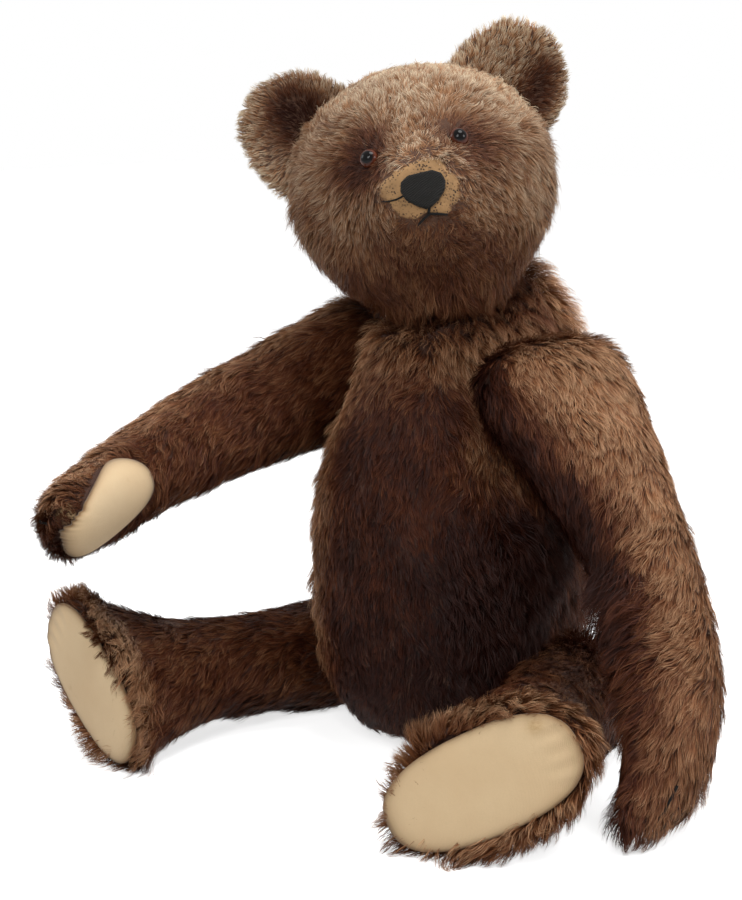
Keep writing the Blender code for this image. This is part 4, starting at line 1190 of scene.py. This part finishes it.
def build_nose():
    """The nose: satin stitches side by side, a little plumper and lower than the solid."""
    data = NODES["nose"].data.copy()
    data.materials.clear()
    holder = add_object("nose_holder", data)
    fine = holder.modifiers.new("fine", "REMESH")
    fine.mode = "VOXEL"
    fine.voxel_size = 0.0006
    relax = holder.modifiers.new("relax", "SMOOTH")
    relax.iterations = 4
    relax.factor = 0.5
    mesh = final_mesh(holder)
    mesh.shade_smooth()
    inverse = HEAD_FRAME.inverted()
    tree = head_form().tree()
    top = NOSE_HEIGHT + NOSE_LENGTH / 2
    threads = []
    for vertex in mesh.vertices:
        local = inverse @ vertex.co
        lifted = top - (top - local.z) * NOSE_SQUEEZE
        forward = on_muzzle(tree, local.x, lifted).y - on_muzzle(tree, local.x, local.z).y
        vertex.co = HEAD_FRAME @ Vector((local.x, local.y + forward, lifted))
        threads.append(lifted * 0.9 - local.x * 0.4)
    mesh.update()
    normals = [vertex.normal.copy() for vertex in mesh.vertices]
    for vertex, normal in zip(mesh.vertices, normals):
        vertex.co += normal * NOSE_PLUMP
    store(mesh, thread=threads)
    mesh.name = "nose_threads"
    place_piece(mesh, satin_stitch_material(), "black_thread", "head", ["nose"], 0.8)


def lay_thread(name, line, radii, replaced=()):
    """A single black thread laid on the muzzle: line holds (x, z) in the head's frame."""
    tree, sides, verts = head_form().tree(), 8, []
    middle = np.array([on_muzzle(tree, x, z) for x, z in line])
    for place, ahead, radius in zip(middle, unit(np.gradient(middle, axis=0)), radii):
        out = unit(np.cross(ahead, (0.0, 0.0, 1.0) if abs(ahead[2]) < 0.7 else (1.0, 0.0, 0.0)))
        for angle in 2 * pi * np.arange(sides) / sides:
            verts.append(place + radius * (cos(angle) * out + sin(angle) * np.cross(ahead, out)))
    mesh = closed_mesh(name, verts, tube_faces(len(middle) - 1, sides))
    mesh.transform(HEAD_FRAME)
    place_piece(mesh, BLACK_THREAD, "black_thread", "head", replaced)


def build_threads():
    """The dark seam beside the nose, and the mouth in single threads below it."""
    shares = np.linspace(0, 1, 16)
    seam = np.stack([-0.0125 - 0.0140 * shares, NOSE_HEIGHT + 0.0015 - 0.0012 * np.sin(3 * shares)], 1)
    lay_thread("muzzle_seam", seam, 0.00060 * (1 - 0.6 * shares ** 2))
    below = NOSE_HEIGHT + NOSE_LENGTH / 2 - NOSE_LENGTH * NOSE_SQUEEZE + 0.0010
    line = np.stack([0.0006 * np.sin(4 * shares), below + (MOUTH_FORK - below) * shares], 1)
    lay_thread("mouth_thread", line, np.full(16, 0.00085), ["mouth_line"])
    span = np.linspace(-1, 1, 25)
    drop = np.where(span < 0, 0.0052, 0.0030) * np.abs(span) ** 1.2
    smile = np.stack([np.where(span < 0, 0.0085, 0.0105) * span, MOUTH_FORK - 0.0006 - drop], 1)
    lay_thread("smile_threads", smile, 0.00080 * (1 - 0.35 * span ** 4), ["mouth_corners"])


def dress_hardware():
    """Better finishes for the nodes that keep the CAD's own shape."""
    finishes = {"_disc": BOARD_BROWN, "insole": CARD_GREY, "_washer": STEEL_DULL, "_pin": STEEL_DULL,
                "shank": STEEL_DULL, "claw": BLACK_THREAD}
    for name, node in NODES.items():
        for word, finish in finishes.items():
            if word in name:
                for slot in node.material_slots:
                    slot.material = finish


# ---- stage

def aim(obj, place, target):
    obj.location = place
    obj.rotation_mode = "QUATERNION"
    obj.rotation_quaternion = (Vector(target) - Vector(place)).to_track_quat("-Z", "Y")


def build_stage():
    mesh = bpy.data.meshes.new("floor")
    mesh.from_pydata([(-6, -6, 0), (6, -6, 0), (6, 6, 0), (-6, 6, 0)], [], [(0, 1, 2, 3)])
    mesh.materials.append(stage_material())
    add_object("floor", mesh)

    world = bpy.data.worlds.new("studio")
    bpy.context.scene.world = world
    world.use_nodes = True
    sky = Nodes(world.node_tree)
    back = sky.tree.nodes["Background"]
    sky.feed(back.inputs["Color"], (1, 1, 1))
    sky.feed(back.inputs["Strength"], sky.plus(sky.times(sky.seen(), 0.66), 0.34))

    for name, place, size, energy in (
            ("top", (0.5, 0.0, 2.1), 1.1, 27.0),
            ("front", (0.7, -1.7, 1.2), 0.7, 14.0),
            ("catchlight", (0.8, -1.3, 1.5), 0.12, 3.5),
            ("right_rim", (1.9, 0.4, 1.1), 0.8, 15.0),
            ("left_fill", (-1.7, -1.0, 1.1), 1.0, 9.0)):
        lamp = bpy.data.lights.new(name, "AREA")
        lamp.shape = "DISK"
        lamp.size = size
        lamp.energy = energy
        aim(add_object(name, lamp), place, CAMERA_TARGET)

    toward = Vector((sin(CAMERA_TURN) * cos(CAMERA_RISE),
                     -cos(CAMERA_TURN) * cos(CAMERA_RISE), sin(CAMERA_RISE)))
    data = bpy.data.cameras.new("camera")
    data.sensor_width = SENSOR
    data.lens = SENSOR * FOCAL_PIXELS / PICTURE_HEIGHT
    data.shift_x = -TARGET_RIGHT / PICTURE_HEIGHT
    data.shift_y = -TARGET_UP / PICTURE_HEIGHT
    camera = add_object("camera", data)
    aim(camera, CAMERA_TARGET + toward * CAMERA_DISTANCE, CAMERA_TARGET)
    bpy.context.scene.camera = camera
    bpy.context.scene.view_settings.view_transform = "Standard"


build_stage()
build_torso()
build_head()
for side in (1, -1):
    build_ear(side)
    build_arm(side)
    build_leg(side)
    build_paw_pad(side)
    build_foot_pad(side)
build_eyes()
build_nose()
build_threads()
dress_hardware()

bpy.context.view_layer.update()
